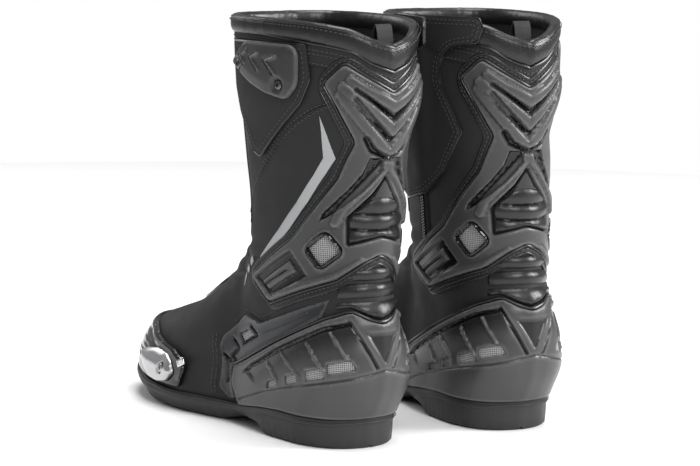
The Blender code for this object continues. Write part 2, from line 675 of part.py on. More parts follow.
def shrunk(point, outline, gap):
    """A corner of an outline, moved towards its middle by about the gap."""
    middle = np.mean(outline, axis=0)
    inward = middle - np.array(point, float)
    return tuple(np.array(point) + inward / np.linalg.norm(inward) * gap * 1.5)


def build_collar(boot, carrier):
    """The padded roll round the mouth."""
    ring = 8
    columns = round_the_form()
    points, faces = [], []
    for u in columns:
        around = abs(u) * reach(300, 1)
        middle, half = float(COLLAR_MIDDLE(around)), float(COLLAR_HALF(around))
        s = u * reach(middle, 1 if u >= 0 else -1)
        for k in range(ring):
            angle = 2 * math.pi * k / ring
            out = -0.8 + COLLAR_THICKNESS / 2 * math.cos(angle)
            z = middle + half * math.sin(angle)
            points.append(off_form(np.array([s]), np.array([z]), np.array([out]))[0])
    count = len(columns)
    for i in range(count):
        for k in range(ring):
            a, b = i * ring + k, i * ring + (k + 1) % ring
            c, d = ((i + 1) % count) * ring + (k + 1) % ring, ((i + 1) % count) * ring + k
            faces.append((a, d, c, b))
    boot.node("collar", points, faces, "glossy_leather", carrier)


def build_pull_loop(boot, carrier):
    """The webbing loop inside the back of the mouth, a bent flat strip."""
    width, thickness, steps = 14.0, 2.0, 10
    drawn_at = 290.0
    foot = drawn_to_size(np.array([float(lean(drawn_at)), float(back(drawn_at)), drawn_at]))
    points, faces = [], []
    for i in range(steps + 1):
        turn = math.pi * i / steps
        out = -13.0 - 4.0 * math.cos(turn)
        z = float(foot[2]) + 22.0 * math.sin(turn)
        across = Vector((-math.cos(turn) * 4.0, math.sin(turn) * 22.0)).normalized()
        for half, skew in ((-1, -1), (1, -1), (1, 1), (-1, 1)):
            o = out + across.x * skew * thickness / 2
            h = z + across.y * skew * thickness / 2
            points.append((float(foot[0]) + half * width / 2, float(foot[1]) - o, h))
    for i in range(steps):
        for k in range(4):
            a, b = i * 4 + k, i * 4 + (k + 1) % 4
            faces.append((a, b, b + 4, a + 4))
    faces += [(3, 2, 1, 0), tuple(len(points) - 4 + k for k in range(4))]
    obj = boot.node("pull_loop", points, faces, "leather", carrier)
    tidy = bmesh.new()
    tidy.from_mesh(obj.data)
    bmesh.ops.recalc_face_normals(tidy, faces=tidy.faces)
    tidy.to_mesh(obj.data)
    tidy.free()


def build_closure(boot):
    """The medial zip and the flap over it."""
    tape = ZIP_TAPE_WIDTH / 2
    strip = [(ZIP_AT - tape, ZIP_BOTTOM), (ZIP_AT + tape, ZIP_BOTTOM), (ZIP_AT + tape, ZIP_TOP), (ZIP_AT - tape, ZIP_TOP)]
    boot.patch("zip_tape", strip, GAP, ZIP_TAPE, "textile", boot.ankle)

    top = off_form(np.array([ZIP_AT]), np.array([ZIP_SLIDER_TOP]), np.array([ZIP_RISE_TOP]))[0]
    low = off_form(np.array([ZIP_AT]), np.array([ZIP_SLIDER_LOW]), np.array([ZIP_RISE_LOW]))[0]
    down = Vector(low - top).normalized()
    outward = Vector(top - on_form(np.array([ZIP_AT]), np.array([ZIP_SLIDER_TOP]))[0]).normalized()
    outward = (outward - down * outward.dot(down)).normalized()
    across = down.cross(outward)

    slider = boot.pivot("zip_slider_origin", top, boot.ankle)
    width, length, thick = ZIP_SLIDER
    boot.bar("zip_slider", Vector(top) + outward * thick / 2, across * width, down * length, outward * thick,
             "black_steel", slider)
    hinge_at = Vector(top) + down * (length / 2 + 1.2) + outward * (thick / 2)
    puller = boot.pivot("zip_puller_hinge", hinge_at, slider)
    width, length, thick = ZIP_PULLER
    below = ZIP_SLIDER_TOP - ZIP_SLIDER[1] / 2 - length
    rest_on = off_form(np.array([ZIP_AT]), np.array([below]), np.array([ZIP_RISE_TOP + thick]))[0]
    hang = (Vector(rest_on) - hinge_at).normalized()
    outward = (outward - hang * outward.dot(hang)).normalized()
    boot.bar("zip_puller", hinge_at + hang * (length / 2), across * width, hang * length, outward * thick,
             "rubber", puller)

    ends = [off_form(np.array([s]), np.array([z]), np.array([FLAP_STANDOFF + FLAP_THICKNESS / 2]))[0]
            for s, z in FLAP_HINGE]
    flap = boot.pivot("flap_hinge", ends[0], boot.ankle)
    boot.patch("closure_flap", FLAP, FLAP_STANDOFF, FLAP_THICKNESS, "leather", flap)


def bar(self, name, centre, across, along, through, material, carrier):
    """A rounded bar: a box primitive laid along three directions, with bevelled edges."""
    box = bmesh.new()
    bmesh.ops.create_cube(box, size=1.0)
    frame = Matrix((across, along, through)).transposed()
    points = [centre + frame @ v.co for v in box.verts]
    faces = [[v.index for v in face.verts] for face in box.faces]
    box.free()
    if frame.determinant() < 0:
        faces = [list(reversed(face)) for face in faces]
    obj = self.node(name, points, faces, material, carrier)
    bevel = obj.modifiers.new("edges", "BEVEL")
    bevel.width = 0.4 * MM
    bevel.segments = 1
    return obj


Boot.bar = bar


def centre_the_pair(collection):
    """Moves the pair along y, so that the middle of its bounding box is over the origin."""
    bpy.context.view_layer.update()
    graph = bpy.context.evaluated_depsgraph_get()
    reached = []
    for obj in collection.objects:
        if obj.type != "MESH":
            continue
        evaluated = obj.evaluated_get(graph)
        reached += [(evaluated.matrix_world @ vertex.co).y for vertex in evaluated.data.vertices]
    for obj in collection.objects:
        if obj.parent is None:
            obj.location.y -= (min(reached) + max(reached)) / 2
    bpy.context.view_layer.update()


def main():
    for obj in list(bpy.data.objects):
        bpy.data.objects.remove(obj, do_unlink=True)
    collection = bpy.data.collections.new("riding_boots")
    bpy.context.scene.collection.children.link(collection)
    materials = make_materials()
    for side in (-1, 1):
        boot = Boot(side, collection, materials)
        build_foot(boot)
        build_shaft(boot)
        build_closure(boot)
    centre_the_pair(collection)


main()
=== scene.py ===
"""Looks of a pair of motorcycle racing boots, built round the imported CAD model.

Each piece is worked out once, for the right boot, in millimetres, and placed for both boots: the
left one is its mirror. A place on the boot's side is (s, z): s is the distance round the boot at
height z from the middle of the back, positive on the lateral side. Pieces on the toe and the shin
use (t, z) instead, where t is measured from the middle of the front.
"""

import json
import logging
import math
from collections.abc import Callable, Sequence
from dataclasses import dataclass, field
from enum import Enum

import bpy
import numpy as np
from mathutils import Matrix, Vector
from mathutils.geometry import delaunay_2d_cdt

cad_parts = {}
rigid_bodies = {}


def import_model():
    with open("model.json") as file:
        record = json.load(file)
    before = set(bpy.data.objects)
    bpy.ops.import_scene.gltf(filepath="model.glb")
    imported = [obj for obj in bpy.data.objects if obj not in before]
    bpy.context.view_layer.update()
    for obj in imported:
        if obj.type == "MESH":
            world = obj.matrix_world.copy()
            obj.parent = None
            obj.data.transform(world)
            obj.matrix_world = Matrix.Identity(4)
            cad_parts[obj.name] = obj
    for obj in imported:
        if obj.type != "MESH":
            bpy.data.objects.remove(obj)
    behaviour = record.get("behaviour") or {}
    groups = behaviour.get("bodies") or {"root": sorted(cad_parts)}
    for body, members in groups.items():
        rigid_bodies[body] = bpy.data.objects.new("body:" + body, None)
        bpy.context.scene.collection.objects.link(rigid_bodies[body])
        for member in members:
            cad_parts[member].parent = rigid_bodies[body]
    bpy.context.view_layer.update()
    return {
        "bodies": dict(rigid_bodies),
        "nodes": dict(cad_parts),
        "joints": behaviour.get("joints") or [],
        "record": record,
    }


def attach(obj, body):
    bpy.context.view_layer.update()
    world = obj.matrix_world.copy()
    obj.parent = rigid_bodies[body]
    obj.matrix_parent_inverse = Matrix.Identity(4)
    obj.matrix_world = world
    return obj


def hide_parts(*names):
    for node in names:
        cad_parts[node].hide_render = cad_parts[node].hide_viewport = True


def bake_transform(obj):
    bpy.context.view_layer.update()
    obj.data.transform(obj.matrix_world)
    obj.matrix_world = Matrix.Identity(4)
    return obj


LOG = logging.getLogger("riding_boots")
MM = 0.001
Place = tuple[float, float]
Loop = list[Place]
Height = Callable[[np.ndarray, np.ndarray], np.ndarray]


class Side(Enum):
    """The two boots."""

    LEFT = -1
    RIGHT = 1

    @property
    def prefix(self) -> str:
        """The start of the names of this boot's pieces and bodies."""
        return "left_" if self is Side.LEFT else "right_"


class Body(Enum):
    """What a piece moves with."""

    FOOT = "foot"
    SHAFT = "shaft"
    FLAP = "flap"
    ZIP_SLIDER = "zip_slider"
    ZIP_PULLER = "zip_puller"
    ANKLE = "ankle"  # spans the foot and the shaft, where the real boot bends; tied to no body


# ---- The boot's form ---------------------------------------------------------------------------


def smooth_through(stations: Sequence[Place]) -> Callable[[np.ndarray], np.ndarray]:
    """A monotone cubic through stations, which never overshoots them.

    Args:
        stations: (x, y) pairs, in the order of x.

    Returns:
        The function y(x), held flat beyond both ends.
    """
    xs, ys = (np.array(column, float) for column in zip(*stations))
    step = np.diff(xs)
    slope = np.diff(ys) / step
    tangent = np.zeros_like(ys)
    for i in range(1, len(xs) - 1):
        if slope[i - 1] * slope[i] > 0:
            before, after = 2 * step[i] + step[i - 1], step[i] + 2 * step[i - 1]
            tangent[i] = (before + after) / (before / slope[i - 1] + after / slope[i])
    tangent[0], tangent[-1] = slope[0], slope[-1]

    def value(x: np.ndarray) -> np.ndarray:
        """The curve's height at x."""
        x = np.clip(np.asarray(x, float), xs[0], xs[-1])
        i = np.clip(np.searchsorted(xs, x, side="right") - 1, 0, len(xs) - 2)
        u = (x - xs[i]) / step[i]
        return (
            (1 + 2 * u) * (1 - u) ** 2 * ys[i]
            + u * (1 - u) ** 2 * step[i] * tangent[i]
            + u * u * (3 - 2 * u) * ys[i + 1]
            + u * u * (u - 1) * step[i] * tangent[i + 1]
        )

    return value


def smoothstep(x: np.ndarray, low: float, high: float) -> np.ndarray:
    """A smooth rise from 0 at low to 1 at high."""
    u = np.clip((np.asarray(x, float) - low) / (high - low), 0, 1)
    return u * u * (3 - 2 * u)


@dataclass
class Last:
    """The outer form of the right boot, as rings at even heights."""

    toe: float = 300.0
    length_scale: float = 316.0 / 316.5
    toe_spring: float = 14.0
    heel_stack: float = 22.0
    ball_stack: float = 14.5
    stance: float = 142.0
    toe_out: float = 4.0
    heel_centre: float = 38.0
    heel_in_the_frame: float = -101.5  # where the frame's y has the heel's centre
    level_step: float = 2.0
    ring_points: int = 161
    rings: dict[int, tuple[np.ndarray, np.ndarray, np.ndarray]] = field(default_factory=dict)

    def __post_init__(self) -> None:
        """Works out the rings from the stations."""
        self.back = smooth_through([(0, 4), (20, -1), (56, -18), (93, -14), (105, -9), (120, -5), (150, -3),
                                    (180, -3), (212, -4), (240, -7.5), (260, -9.5), (300, -9.5), (330, -9.5)])
        self.shin = smooth_through([(0, 120), (60, 122), (120, 126), (160, 126), (210, 129), (260, 137),
                                    (300, 142), (330, 144)])
        self.shaft_half = smooth_through([(0, 36), (60, 37), (120, 40), (150, 42.5), (180, 44.5), (210, 48.5),
                                          (240, 52.5), (260, 55), (300, 56.5), (330, 57)])
        self.lean = smooth_through([(0, 0), (95, 0), (120, -1), (150, -2.5), (180, -4), (210, -5), (240, -6.5),
                                    (270, -7), (330, -7)])
        self.instep = smooth_through([(-20, 118), (60, 160), (100, 172), (130, 156), (146, 132), (162, 114),
                                      (200, 88), (240, 73), (270, 61), (287, 46), (296, 28), (300, 0)])
        self.plan = {
            1: smooth_through([(0, 0), (2, 13), (8, 25), (20, 34), (40, 39), (80, 39), (120, 40), (160, 47),
                               (195, 53), (225, 52), (255, 43), (280, 29), (293, 17), (298, 7), (299, 0)]),
            -1: smooth_through([(0, 0), (2, 13), (8, 25), (20, 34), (40, 38), (80, 35), (120, 35), (160, 42),
                                (200, 50), (225, 50), (255, 43), (280, 30), (293, 17), (298, 7), (299, 0)]),
        }
        self.levels = np.arange(-4.0, 336.0, self.level_step)
        spread = (1 - np.cos(np.linspace(0, np.pi, 900))) / 2
        for side in (1, -1):
            xs, ys, lengths = [], [], []
            for z in self.levels:
                rear, front = float(self.back(z)), self.front_of(z)
                y = rear + (front - rear) * spread
                x = self.half_width(y, z, side)
                x[0] = x[-1] = 0
                s = np.concatenate([[0], np.cumsum(np.hypot(np.diff(x), np.diff(y)))])
                even = np.linspace(0, s[-1], self.ring_points)
                xs.append(np.interp(even, s, x))
                ys.append(np.interp(even, s, y))
                lengths.append(s[-1])
            self.rings[side] = np.array(xs), np.array(ys), np.array(lengths)

    def half_width(self, y: np.ndarray, z: float, side: int) -> np.ndarray:
        """How far the form reaches to a side: the foot's plan joined with the shaft's oval.

        Args:
            y: Distances from the heel.
            z: The height.
            side: 1 for lateral, -1 for medial.

        Returns:
            The half widths at y.
        """
        rear = self.back(z)
        along = (y - rear) * self.toe / (self.toe - rear)
        inside = (along > 0) & (along < self.toe - 1)
        flare = 1 + 0.10 * np.exp(-(((z - 52) / 26) ** 2)) * np.exp(-((np.maximum(along, 0) / 90) ** 2))
        dome = np.clip(1 - np.clip(z / self.instep(y), 0, 1) ** 2.6, 0, 1) ** (1 / 2.2) if z > 0 else 1.0
        foot = np.where(inside, self.plan[side](along), 0) * flare * dome
        front = float(self.shin(z))
        widest = rear + 0.575 * (front - rear)
        away = np.where(y > widest, (y - widest) / (front - widest), (widest - y) / (widest - rear))
        power = np.where(y > widest, 3.0, 1.95)
        shaft = self.shaft_half(z) * np.clip(1 - np.clip(away, 0, 1) ** power, 0, 1) ** (1 / power)
        return (np.maximum(foot, 0) ** 5 + np.maximum(shaft, 0) ** 5) ** 0.2

    def front_of(self, z: float) -> float:
        """How far forward the form reaches at a height."""
        y = np.linspace(100, self.toe, 801)
        foot = y[self.instep(y) > z]
        return max(foot.max() if len(foot) else 0.0, float(self.shin(z)))

    def reach(self, z: np.ndarray, side: int) -> np.ndarray:
        """The distance round the form from the middle of the back to the middle of the front."""
        return np.interp(z, self.levels, self.rings[side][2])

    def reach_of(self, u: np.ndarray, z: np.ndarray) -> np.ndarray:
        """The reach on the side that the sign of u says."""
        return np.where(u >= 0, self.reach(z, 1), self.reach(z, -1))

    def toe_lift(self, y: np.ndarray, z: np.ndarray) -> np.ndarray:
        """How far the toe's spring lifts the form."""
        return self.toe_spring * np.clip((y - 190) / 110, 0, 1) ** 2 * np.clip(1 - z / 90, 0, 1)

    def base(self, s: np.ndarray, z: np.ndarray) -> np.ndarray:
        """Points of the form.

        Args:
            s: Distances round the boot.
            z: Heights, of the same shape.

        Returns:
            The points, in millimetres, with one more axis than s.
        """
        s, z = np.broadcast_arrays(np.asarray(s, float), np.asarray(z, float))
        low = np.clip(((z - self.levels[0]) / self.level_step).astype(int), 0, len(self.levels) - 2)
        mix = (z - self.levels[low]) / self.level_step
        flat = np.zeros(s.shape + (2,))
        for side in (1, -1):
            xs, ys, lengths = self.rings[side]
            here = s >= 0 if side > 0 else s < 0
            ends = []
            for level in (low, low + 1):
                u = np.clip(np.abs(s) / lengths[level], 0, 1) * (self.ring_points - 1)
                k = np.clip(u.astype(int), 0, self.ring_points - 2)
                f = u - k
                ends.append([g[level, k] * (1 - f) + g[level, k + 1] * f for g in (xs, ys)])
            for axis, sign in ((0, side), (1, 1)):
                value = sign * (ends[0][axis] * (1 - mix) + ends[1][axis] * mix)
                flat[..., axis] = np.where(here, value, flat[..., axis])
        y = flat[..., 1]
        return np.stack([flat[..., 0] + self.lean(z), y * self.length_scale, z + self.toe_lift(y, z)], -1)

    def off(self, s: np.ndarray, z: np.ndarray, height: np.ndarray) -> np.ndarray:
        """Points that far outside the form, along its normal."""
        step = 1.5
        across = self.base(s + step, z) - self.base(s - step, z)
        up = self.base(s, z + step) - self.base(s, z - step)
        normal = np.cross(across, up)
        normal /= np.maximum(np.linalg.norm(normal, axis=-1, keepdims=True), 1e-9)
        return self.base(s, z) + normal * np.asarray(height, float)[..., None]

    def from_front(self, t: np.ndarray, z: np.ndarray) -> np.ndarray:
        """Turns a place measured from the middle of the front into one measured from the back."""
        t = np.asarray(t, float)
        return np.where(t >= 0, self.reach(z, 1) - t, -(self.reach(z, -1) + t))

    def sole_top(self, y: np.ndarray) -> np.ndarray:
        """The height of the line where the upper meets the sole."""
        heel = smoothstep(y, 60, 130)
        lift = self.toe_lift(np.asarray(y) / self.length_scale, self.ball_stack)
        return self.heel_stack * (1 - heel) + self.ball_stack * heel + lift

    def settle(self, u: np.ndarray, height: Callable, low: float, high: float) -> np.ndarray:
        """For each share u round the form, where the form crosses height(y) going up from low.

        Args:
            u: Shares from -1 to 1, 0 at the middle of the back.
            height: The height of the line, as a function of y.
            low: The height to look from.
            high: The height to look to.

        Returns:
            The z of each crossing.
        """
        z = np.linspace(low, high, 161)
        found = np.empty(len(u))
        for i, share in enumerate(u):
            side = 1 if share >= 0 else -1
            points = self.base(share * self.reach(z, side), z)
            above = points[:, 2] - height(points[:, 1])
            crossing = np.nonzero((above[:-1] < 0) & (above[1:] >= 0))[0]
            if len(crossing) == 0:
                found[i] = high if above[-1] < 0 else low
            else:
                k = crossing[-1]
                found[i] = z[k] + (z[k + 1] - z[k]) * above[k] / (above[k] - above[k + 1])
        return found

    def world(self, points: np.ndarray, side: Side) -> np.ndarray:
        """Turns points of the right boot, in millimetres, into the frame's metres for one boot.

        Args:
            points: The points, n by 3.
            side: The boot they are for.

        Returns:
            The placed points, n by 3.
        """
        turn = math.radians(self.toe_out)
        x, y, z = points[:, 0], points[:, 1] - self.heel_centre, points[:, 2]
        sideways = self.stance / 2 + x * math.cos(turn) + y * math.sin(turn)
        forward = self.heel_in_the_frame - x * math.sin(turn) + y * math.cos(turn)
        return np.stack([side.value * sideways, forward, z], -1) * MM


LAST = Last()


# ---- Flat patterns -----------------------------------------------------------------------------


def mirrored(loop: Sequence[Place]) -> Loop:
    """The same outline on the other side, still turning the same way."""
    return [(-s, z) for s, z in reversed(loop)]


def both_sides(half: Loop) -> Loop:
    """A symmetric outline from its lateral half, listed from the back's top to the back's bottom."""
    return half + [(-s, z) for s, z in reversed(half) if s > 0]


def vee(half: Loop) -> Loop:
    """A line that runs from one side over the middle of the back to the other."""
    return [(-s, z) for s, z in reversed(half) if s > 0] + half


def on_both(lines: Sequence[tuple[Sequence[Place], float]]) -> list[tuple[Loop, float]]:
    """Lateral guide lines with their half widths, then the same on the medial side."""
    return [([(side * s, z) for s, z in line], half) for side in (1, -1) for line, half in lines]


def circle(centre: Place, radius: float, steps: int = 24) -> Loop:
    """A round outline."""
    turns = [2 * math.pi * k / steps for k in range(steps)]
    return [(centre[0] + radius * math.cos(a), centre[1] + radius * math.sin(a)) for a in turns]


def softened(loop: Sequence[Place], radius: float, closed: bool = True) -> Loop:
    """Rounds the corners of an outline or of a line.

    Args:
        loop: The corners.
        radius: How far from a corner its rounding starts, at most.
        closed: Whether the last corner joins the first.

    Returns:
        The rounded outline.
    """
    points = [np.array(p, float) for p in loop]
    if radius <= 0 or len(points) < 3:
        return [tuple(p) for p in points]
    found: list[np.ndarray] = []
    count = len(points)
    for i, corner in enumerate(points):
        if not closed and i in (0, count - 1):
            found.append(corner)
            continue
        before, after = points[i - 1], points[(i + 1) % count]
        reach = [min(radius, 0.45 * np.linalg.norm(end - corner)) for end in (before, after)]
        start = corner + (before - corner) / max(np.linalg.norm(before - corner), 1e-6) * reach[0]
        end = corner + (after - corner) / max(np.linalg.norm(after - corner), 1e-6) * reach[1]
        for f in (0.0, 0.25, 0.5, 0.75, 1.0):
            found.append(start * (1 - f) ** 2 + corner * 2 * f * (1 - f) + end * f * f)
    return [tuple(p) for p in found]


def stepped(line: Sequence[Place], step: float, closed: bool = False) -> np.ndarray:
    """Points at even distances along a line.

    Args:
        line: The line's corners.
        step: The distance between the points.
        closed: Whether the line is a closed outline.

    Returns:
        The points; a closed line's first point isn't repeated.
    """
    corners = np.array(list(line) + ([line[0]] if closed else []), float)
    lengths = np.linalg.norm(np.diff(corners, axis=0), axis=1)
    total = np.concatenate([[0], np.cumsum(lengths)])
    count = max(3, int(round(total[-1] / step)))
    even = np.linspace(0, total[-1], count + 1)
    if len(corners) < 24:  # a drawn outline keeps its corners
        nearest = np.abs(even[None, :] - total[:, None]).argmin(1)
        even[nearest] = total
    if closed:
        even = even[:-1]
    return np.stack([np.interp(even, total, corners[:, k]) for k in range(corners.shape[1])], -1)


def shifted(line: Sequence[Place], distance: float, closed: bool = False) -> np.ndarray:
    """A line moved sideways: to its right, which is outwards for an outline that turns left."""
    points = np.array(line, float)
    if closed:
        along = np.roll(points, -1, 0) - np.roll(points, 1, 0)
    else:
        along = np.gradient(points, axis=0)
    along /= np.maximum(np.linalg.norm(along, axis=1, keepdims=True), 1e-9)
    return points + distance * np.stack([along[:, 1], -along[:, 0]], -1)


def turns_left(loop: Sequence[Place]) -> bool:
    """Whether an outline runs anticlockwise."""
    p = np.array(loop, float)
    q = np.roll(p, -1, 0)
    return float(np.sum(p[:, 0] * q[:, 1] - q[:, 0] * p[:, 1])) > 0


def grown(loop: Sequence[Place], distance: float) -> Loop:
    """An outline made larger by a distance, or smaller by a negative one."""
    line = stepped(softened(loop, abs(distance) + 0.5), 1.5, closed=True)
    if not turns_left(loop):
        distance = -distance
    return [tuple(p) for p in shifted(line, distance, closed=True)]


def to_line(points: np.ndarray, line: Sequence[Place], closed: bool = False) -> np.ndarray:
    """The distance of each point from a line.

    Args:
        points: n by 2.
        line: The line's corners.
        closed: Whether the last corner joins the first.

    Returns:
        The n distances.
    """
    corners = np.array(line, float)
    starts = corners if closed else corners[:-1]
    ends = np.roll(corners, -1, 0) if closed else corners[1:]
    best = np.full(len(points), 1e9)
    for a, b in zip(starts, ends):
        ab = b - a
        f = np.clip(((points - a) @ ab) / max(float(ab @ ab), 1e-9), 0, 1)
        best = np.minimum(best, np.hypot(*(points - a - f[:, None] * ab).T))
    return best


def within(points: np.ndarray, loop: Sequence[Place]) -> np.ndarray:
    """Whether each point is inside a closed outline."""
    found = np.zeros(len(points), bool)
    x, y = points[:, 0], points[:, 1]
    for i, (x1, y1) in enumerate(loop):
        x2, y2 = loop[i - 1]
        if y1 == y2:
            continue
        crosses = ((y1 > y) != (y2 > y)) & (x < (x2 - x1) * (y - y1) / (y2 - y1) + x1)
        found ^= crosses
    return found


def ridge(points: np.ndarray, line: Sequence[Place], half: float, height: float) -> np.ndarray:
    """A rounded ridge along a line, or a groove where the height is negative."""
    d = np.clip(to_line(points, line) / half, 0, 1)
    return height * (1 - d * d) ** 1.5 if height < 0 else height * np.sqrt(np.clip(1 - d**3, 0, 1))


def panel(points: np.ndarray, loop: Sequence[Place], height: float, slope: float = 1.6) -> np.ndarray:
    """A raised panel, or a recess where the height is negative, with sloping sides inside its outline."""
    depth = np.where(within(points, loop), to_line(points, loop, closed=True), 0)
    return height * smoothstep(depth, 0, slope)


@dataclass
class Shape:
    """A mesh in the making, in the right boot's millimetres."""

    points: np.ndarray
    faces: list[tuple[int, ...]]
    uv: np.ndarray  # u, v and the share of painted shade from how deep in a groove the point lies, from 0 to 1

    def __post_init__(self) -> None:
        """Fills in a zero share of painted groove shade where none is given."""
        if self.uv.shape[1] == 2:
            self.uv = np.hstack([self.uv, np.zeros((len(self.uv), 1))])


def joined(shapes: Sequence[Shape]) -> Shape:
    """Several shapes in one mesh."""
    offsets = np.cumsum([0] + [len(s.points) for s in shapes])
    faces = [tuple(i + int(o) for i in f) for s, o in zip(shapes, offsets) for f in s.faces]
    return Shape(np.vstack([s.points for s in shapes]), faces, np.vstack([s.uv for s in shapes]))


def triangulated(loops: list[np.ndarray], free: np.ndarray) -> tuple[np.ndarray, list[tuple[int, ...]]]:
    """Triangles between closed outlines, the holes after the outline, through free points.

    Args:
        loops: The outlines, each n by 2.
        free: The points inside them.

    Returns:
        The flat points, the outlines' first in their order, and the anticlockwise faces.
    """
    points = [Vector(p) for loop in loops for p in loop] + [Vector(p) for p in free]
    edges, start = [], 0
    for loop in loops:
        edges += [(start + i, start + (i + 1) % len(loop)) for i in range(len(loop))]
        start += len(loop)
    result = delaunay_2d_cdt(points, edges, [], 0, 1e-7)
    placed = np.array([tuple(p) for p in result[0]])
    faces = np.array([tuple(f) for f in result[2]])
    middles = placed[faces].mean(1)
    keep = within(middles, loops[0])
    for hole in loops[1:]:
        keep &= ~within(middles, hole)
    faces = faces[keep]
    a, b, c = (placed[faces[:, k]] for k in range(3))
    left = (b[:, 0] - a[:, 0]) * (c[:, 1] - a[:, 1]) - (b[:, 1] - a[:, 1]) * (c[:, 0] - a[:, 0]) > 0
    faces = np.where(left[:, None], faces, faces[:, ::-1])
    return placed, [tuple(int(i) for i in f) for f in faces]


COARSE_CELL = 6.0  # between the points of a plate's hidden inner face
LEAST_THICKNESS = 0.15  # of a plate under its deepest relief


@dataclass
class Plate:
    """A plate wrapped on the form: its outline, holes, seat, thickness and relief."""

    outline: Loop
    seat: float | Height
    thickness: float
    holes: list[Loop] = field(default_factory=list)
    relief: Callable[[np.ndarray], np.ndarray] | None = None
    guides: list[tuple[Sequence[Place], float]] = field(default_factory=list)
    cell: float = 1.7
    corner: float = 2.5
    edge: float = 1.1
    edge_share: float = 0.45
    front: bool = False
    darkest: float = 1.9  # how deep a groove is where its painted shade is darkest

    def seat_at(self, flat: np.ndarray) -> np.ndarray:
        """The height of the plate's inner face."""
        if callable(self.seat):
            return self.seat(flat[:, 0], flat[:, 1])
        return np.full(len(flat), float(self.seat))

    def lift(self, flat: np.ndarray, height: np.ndarray) -> np.ndarray:
        """Lays flat places on the form at a height."""
        s = LAST.from_front(flat[:, 0], flat[:, 1]) if self.front else flat[:, 0]
        return LAST.off(s, flat[:, 1], height)

    def rims(self) -> list[np.ndarray]:
        """The outline and the holes at even steps, the outline turning left and the holes right."""
        loops = []
        for k, loop in enumerate([self.outline, *self.holes]):
            line = stepped(softened(loop, self.corner if k == 0 else self.corner * 0.6), self.cell, closed=True)
            wanted = turns_left([tuple(p) for p in line]) == (k == 0)
            loops.append(line if wanted else line[::-1])
        return loops

    def fill(self, loops: list[np.ndarray]) -> tuple[np.ndarray, np.ndarray]:
        """The points inside the rims.

        Args:
            loops: The rims.

        Returns:
            The outer face's points, closest at rims and guides, and the inner face's, further apart.
        """
        rows = [shifted(loop, -d, closed=True) for loop in loops for d in (self.edge * 0.35, self.edge)]
        for line, half in self.guides:
            along = stepped(line, self.cell)
            rows += [shifted(along, d) for d in ((0.0,) if half <= 0 else (-half, -half / 2, 0.0, half / 2, half))]
        rim = np.vstack(loops)
        low, high = rim.min(0), rim.max(0)
        xs = np.arange(low[0], high[0], self.cell)
        zs = np.arange(low[1], high[1], self.cell * 0.87)
        grid = np.array([(x + self.cell / 2 * (r % 2), z) for r, z in enumerate(zs) for x in xs])
        far = max(COARSE_CELL, self.cell)
        skip = max(1, int(far / self.cell))
        coarse = np.array([(x, z) for z in zs[::skip] for x in xs[::skip]])
        return self.thinned(np.vstack(rows + [grid]), loops, self.cell), self.thinned(coarse, loops, far)

    def heights(self, flat: np.ndarray, loops: list[np.ndarray]) -> tuple[np.ndarray, np.ndarray]:
        """The outer face's height and its share of painted groove shade, from how deep in a groove it lies, at each
        place.
        """
        rim_distance = np.full(len(flat), 1e9)
        for loop in loops:
            rim_distance = np.minimum(rim_distance, to_line(flat, loop, closed=True))
        share = np.clip(rim_distance / self.edge, 0, 1)
        rounded = self.edge_share + (1 - self.edge_share) * np.sqrt(1 - (1 - share) ** 2)
        height = self.seat_at(flat) + self.thickness * rounded
        groove_shade = np.zeros(len(flat))
        if self.relief:
            carved = self.relief(flat)
            height = height + carved * share
            # Painted shade share: the deeper in a groove, the darker the finish paints it.
            groove_shade = np.clip((-carved - 0.25) / self.darkest, 0, 1) * share
        return np.maximum(height, self.seat_at(flat) + LEAST_THICKNESS), groove_shade

    def build(self) -> Shape:
        """Makes the plate.

        Returns:
            A closed shape: a finely meshed outer face, a coarse inner face and the walls between.
        """
        loops = self.rims()
        count = sum(len(loop) for loop in loops)
        fine, coarse = self.fill(loops)
        outer, faces = triangulated(loops, fine)
        inner, back = triangulated(loops, coarse)
        height, groove_shade = self.heights(outer, loops)
        total = len(outer)
        sides = dict.fromkeys((f[i], f[(i + 1) % 3]) for f in faces for i in range(3))
        walls = [(b, a, a + total, b + total) for a, b in sides if (b, a) not in sides and a < count and b < count]
        every = faces + [tuple(reversed([i + total for i in f])) for f in back] + walls
        if self.front:
            every = [tuple(reversed(f)) for f in every]
        points = np.vstack([self.lift(outer, height), self.lift(inner, self.seat_at(inner))])
        flat = np.vstack([outer, inner]) * MM
        return Shape(points, every, np.column_stack([flat, np.append(groove_shade, np.zeros(len(inner)))]))

    def thinned(self, points: np.ndarray, loops: list[np.ndarray], cell: float) -> np.ndarray:
        """Keeps the points inside the outlines, none of them much closer than a cell to one before it."""
        keep = within(points, loops[0])
        for hole in loops[1:]:
            keep &= ~within(points, hole)
        points = points[keep]
        clear = np.full(len(points), 1e9)
        for loop in loops:
            clear = np.minimum(clear, to_line(points, loop, closed=True))
        points = points[clear > min(0.3, cell * 0.3)]
        taken: set[tuple[int, int]] = set()
        found = []
        size = cell * 0.42
        for p in points:
            key = (int(p[0] // size), int(p[1] // size))
            if key not in taken:
                taken.add(key)
                found.append(p)
        return np.array(found).reshape(-1, 2)


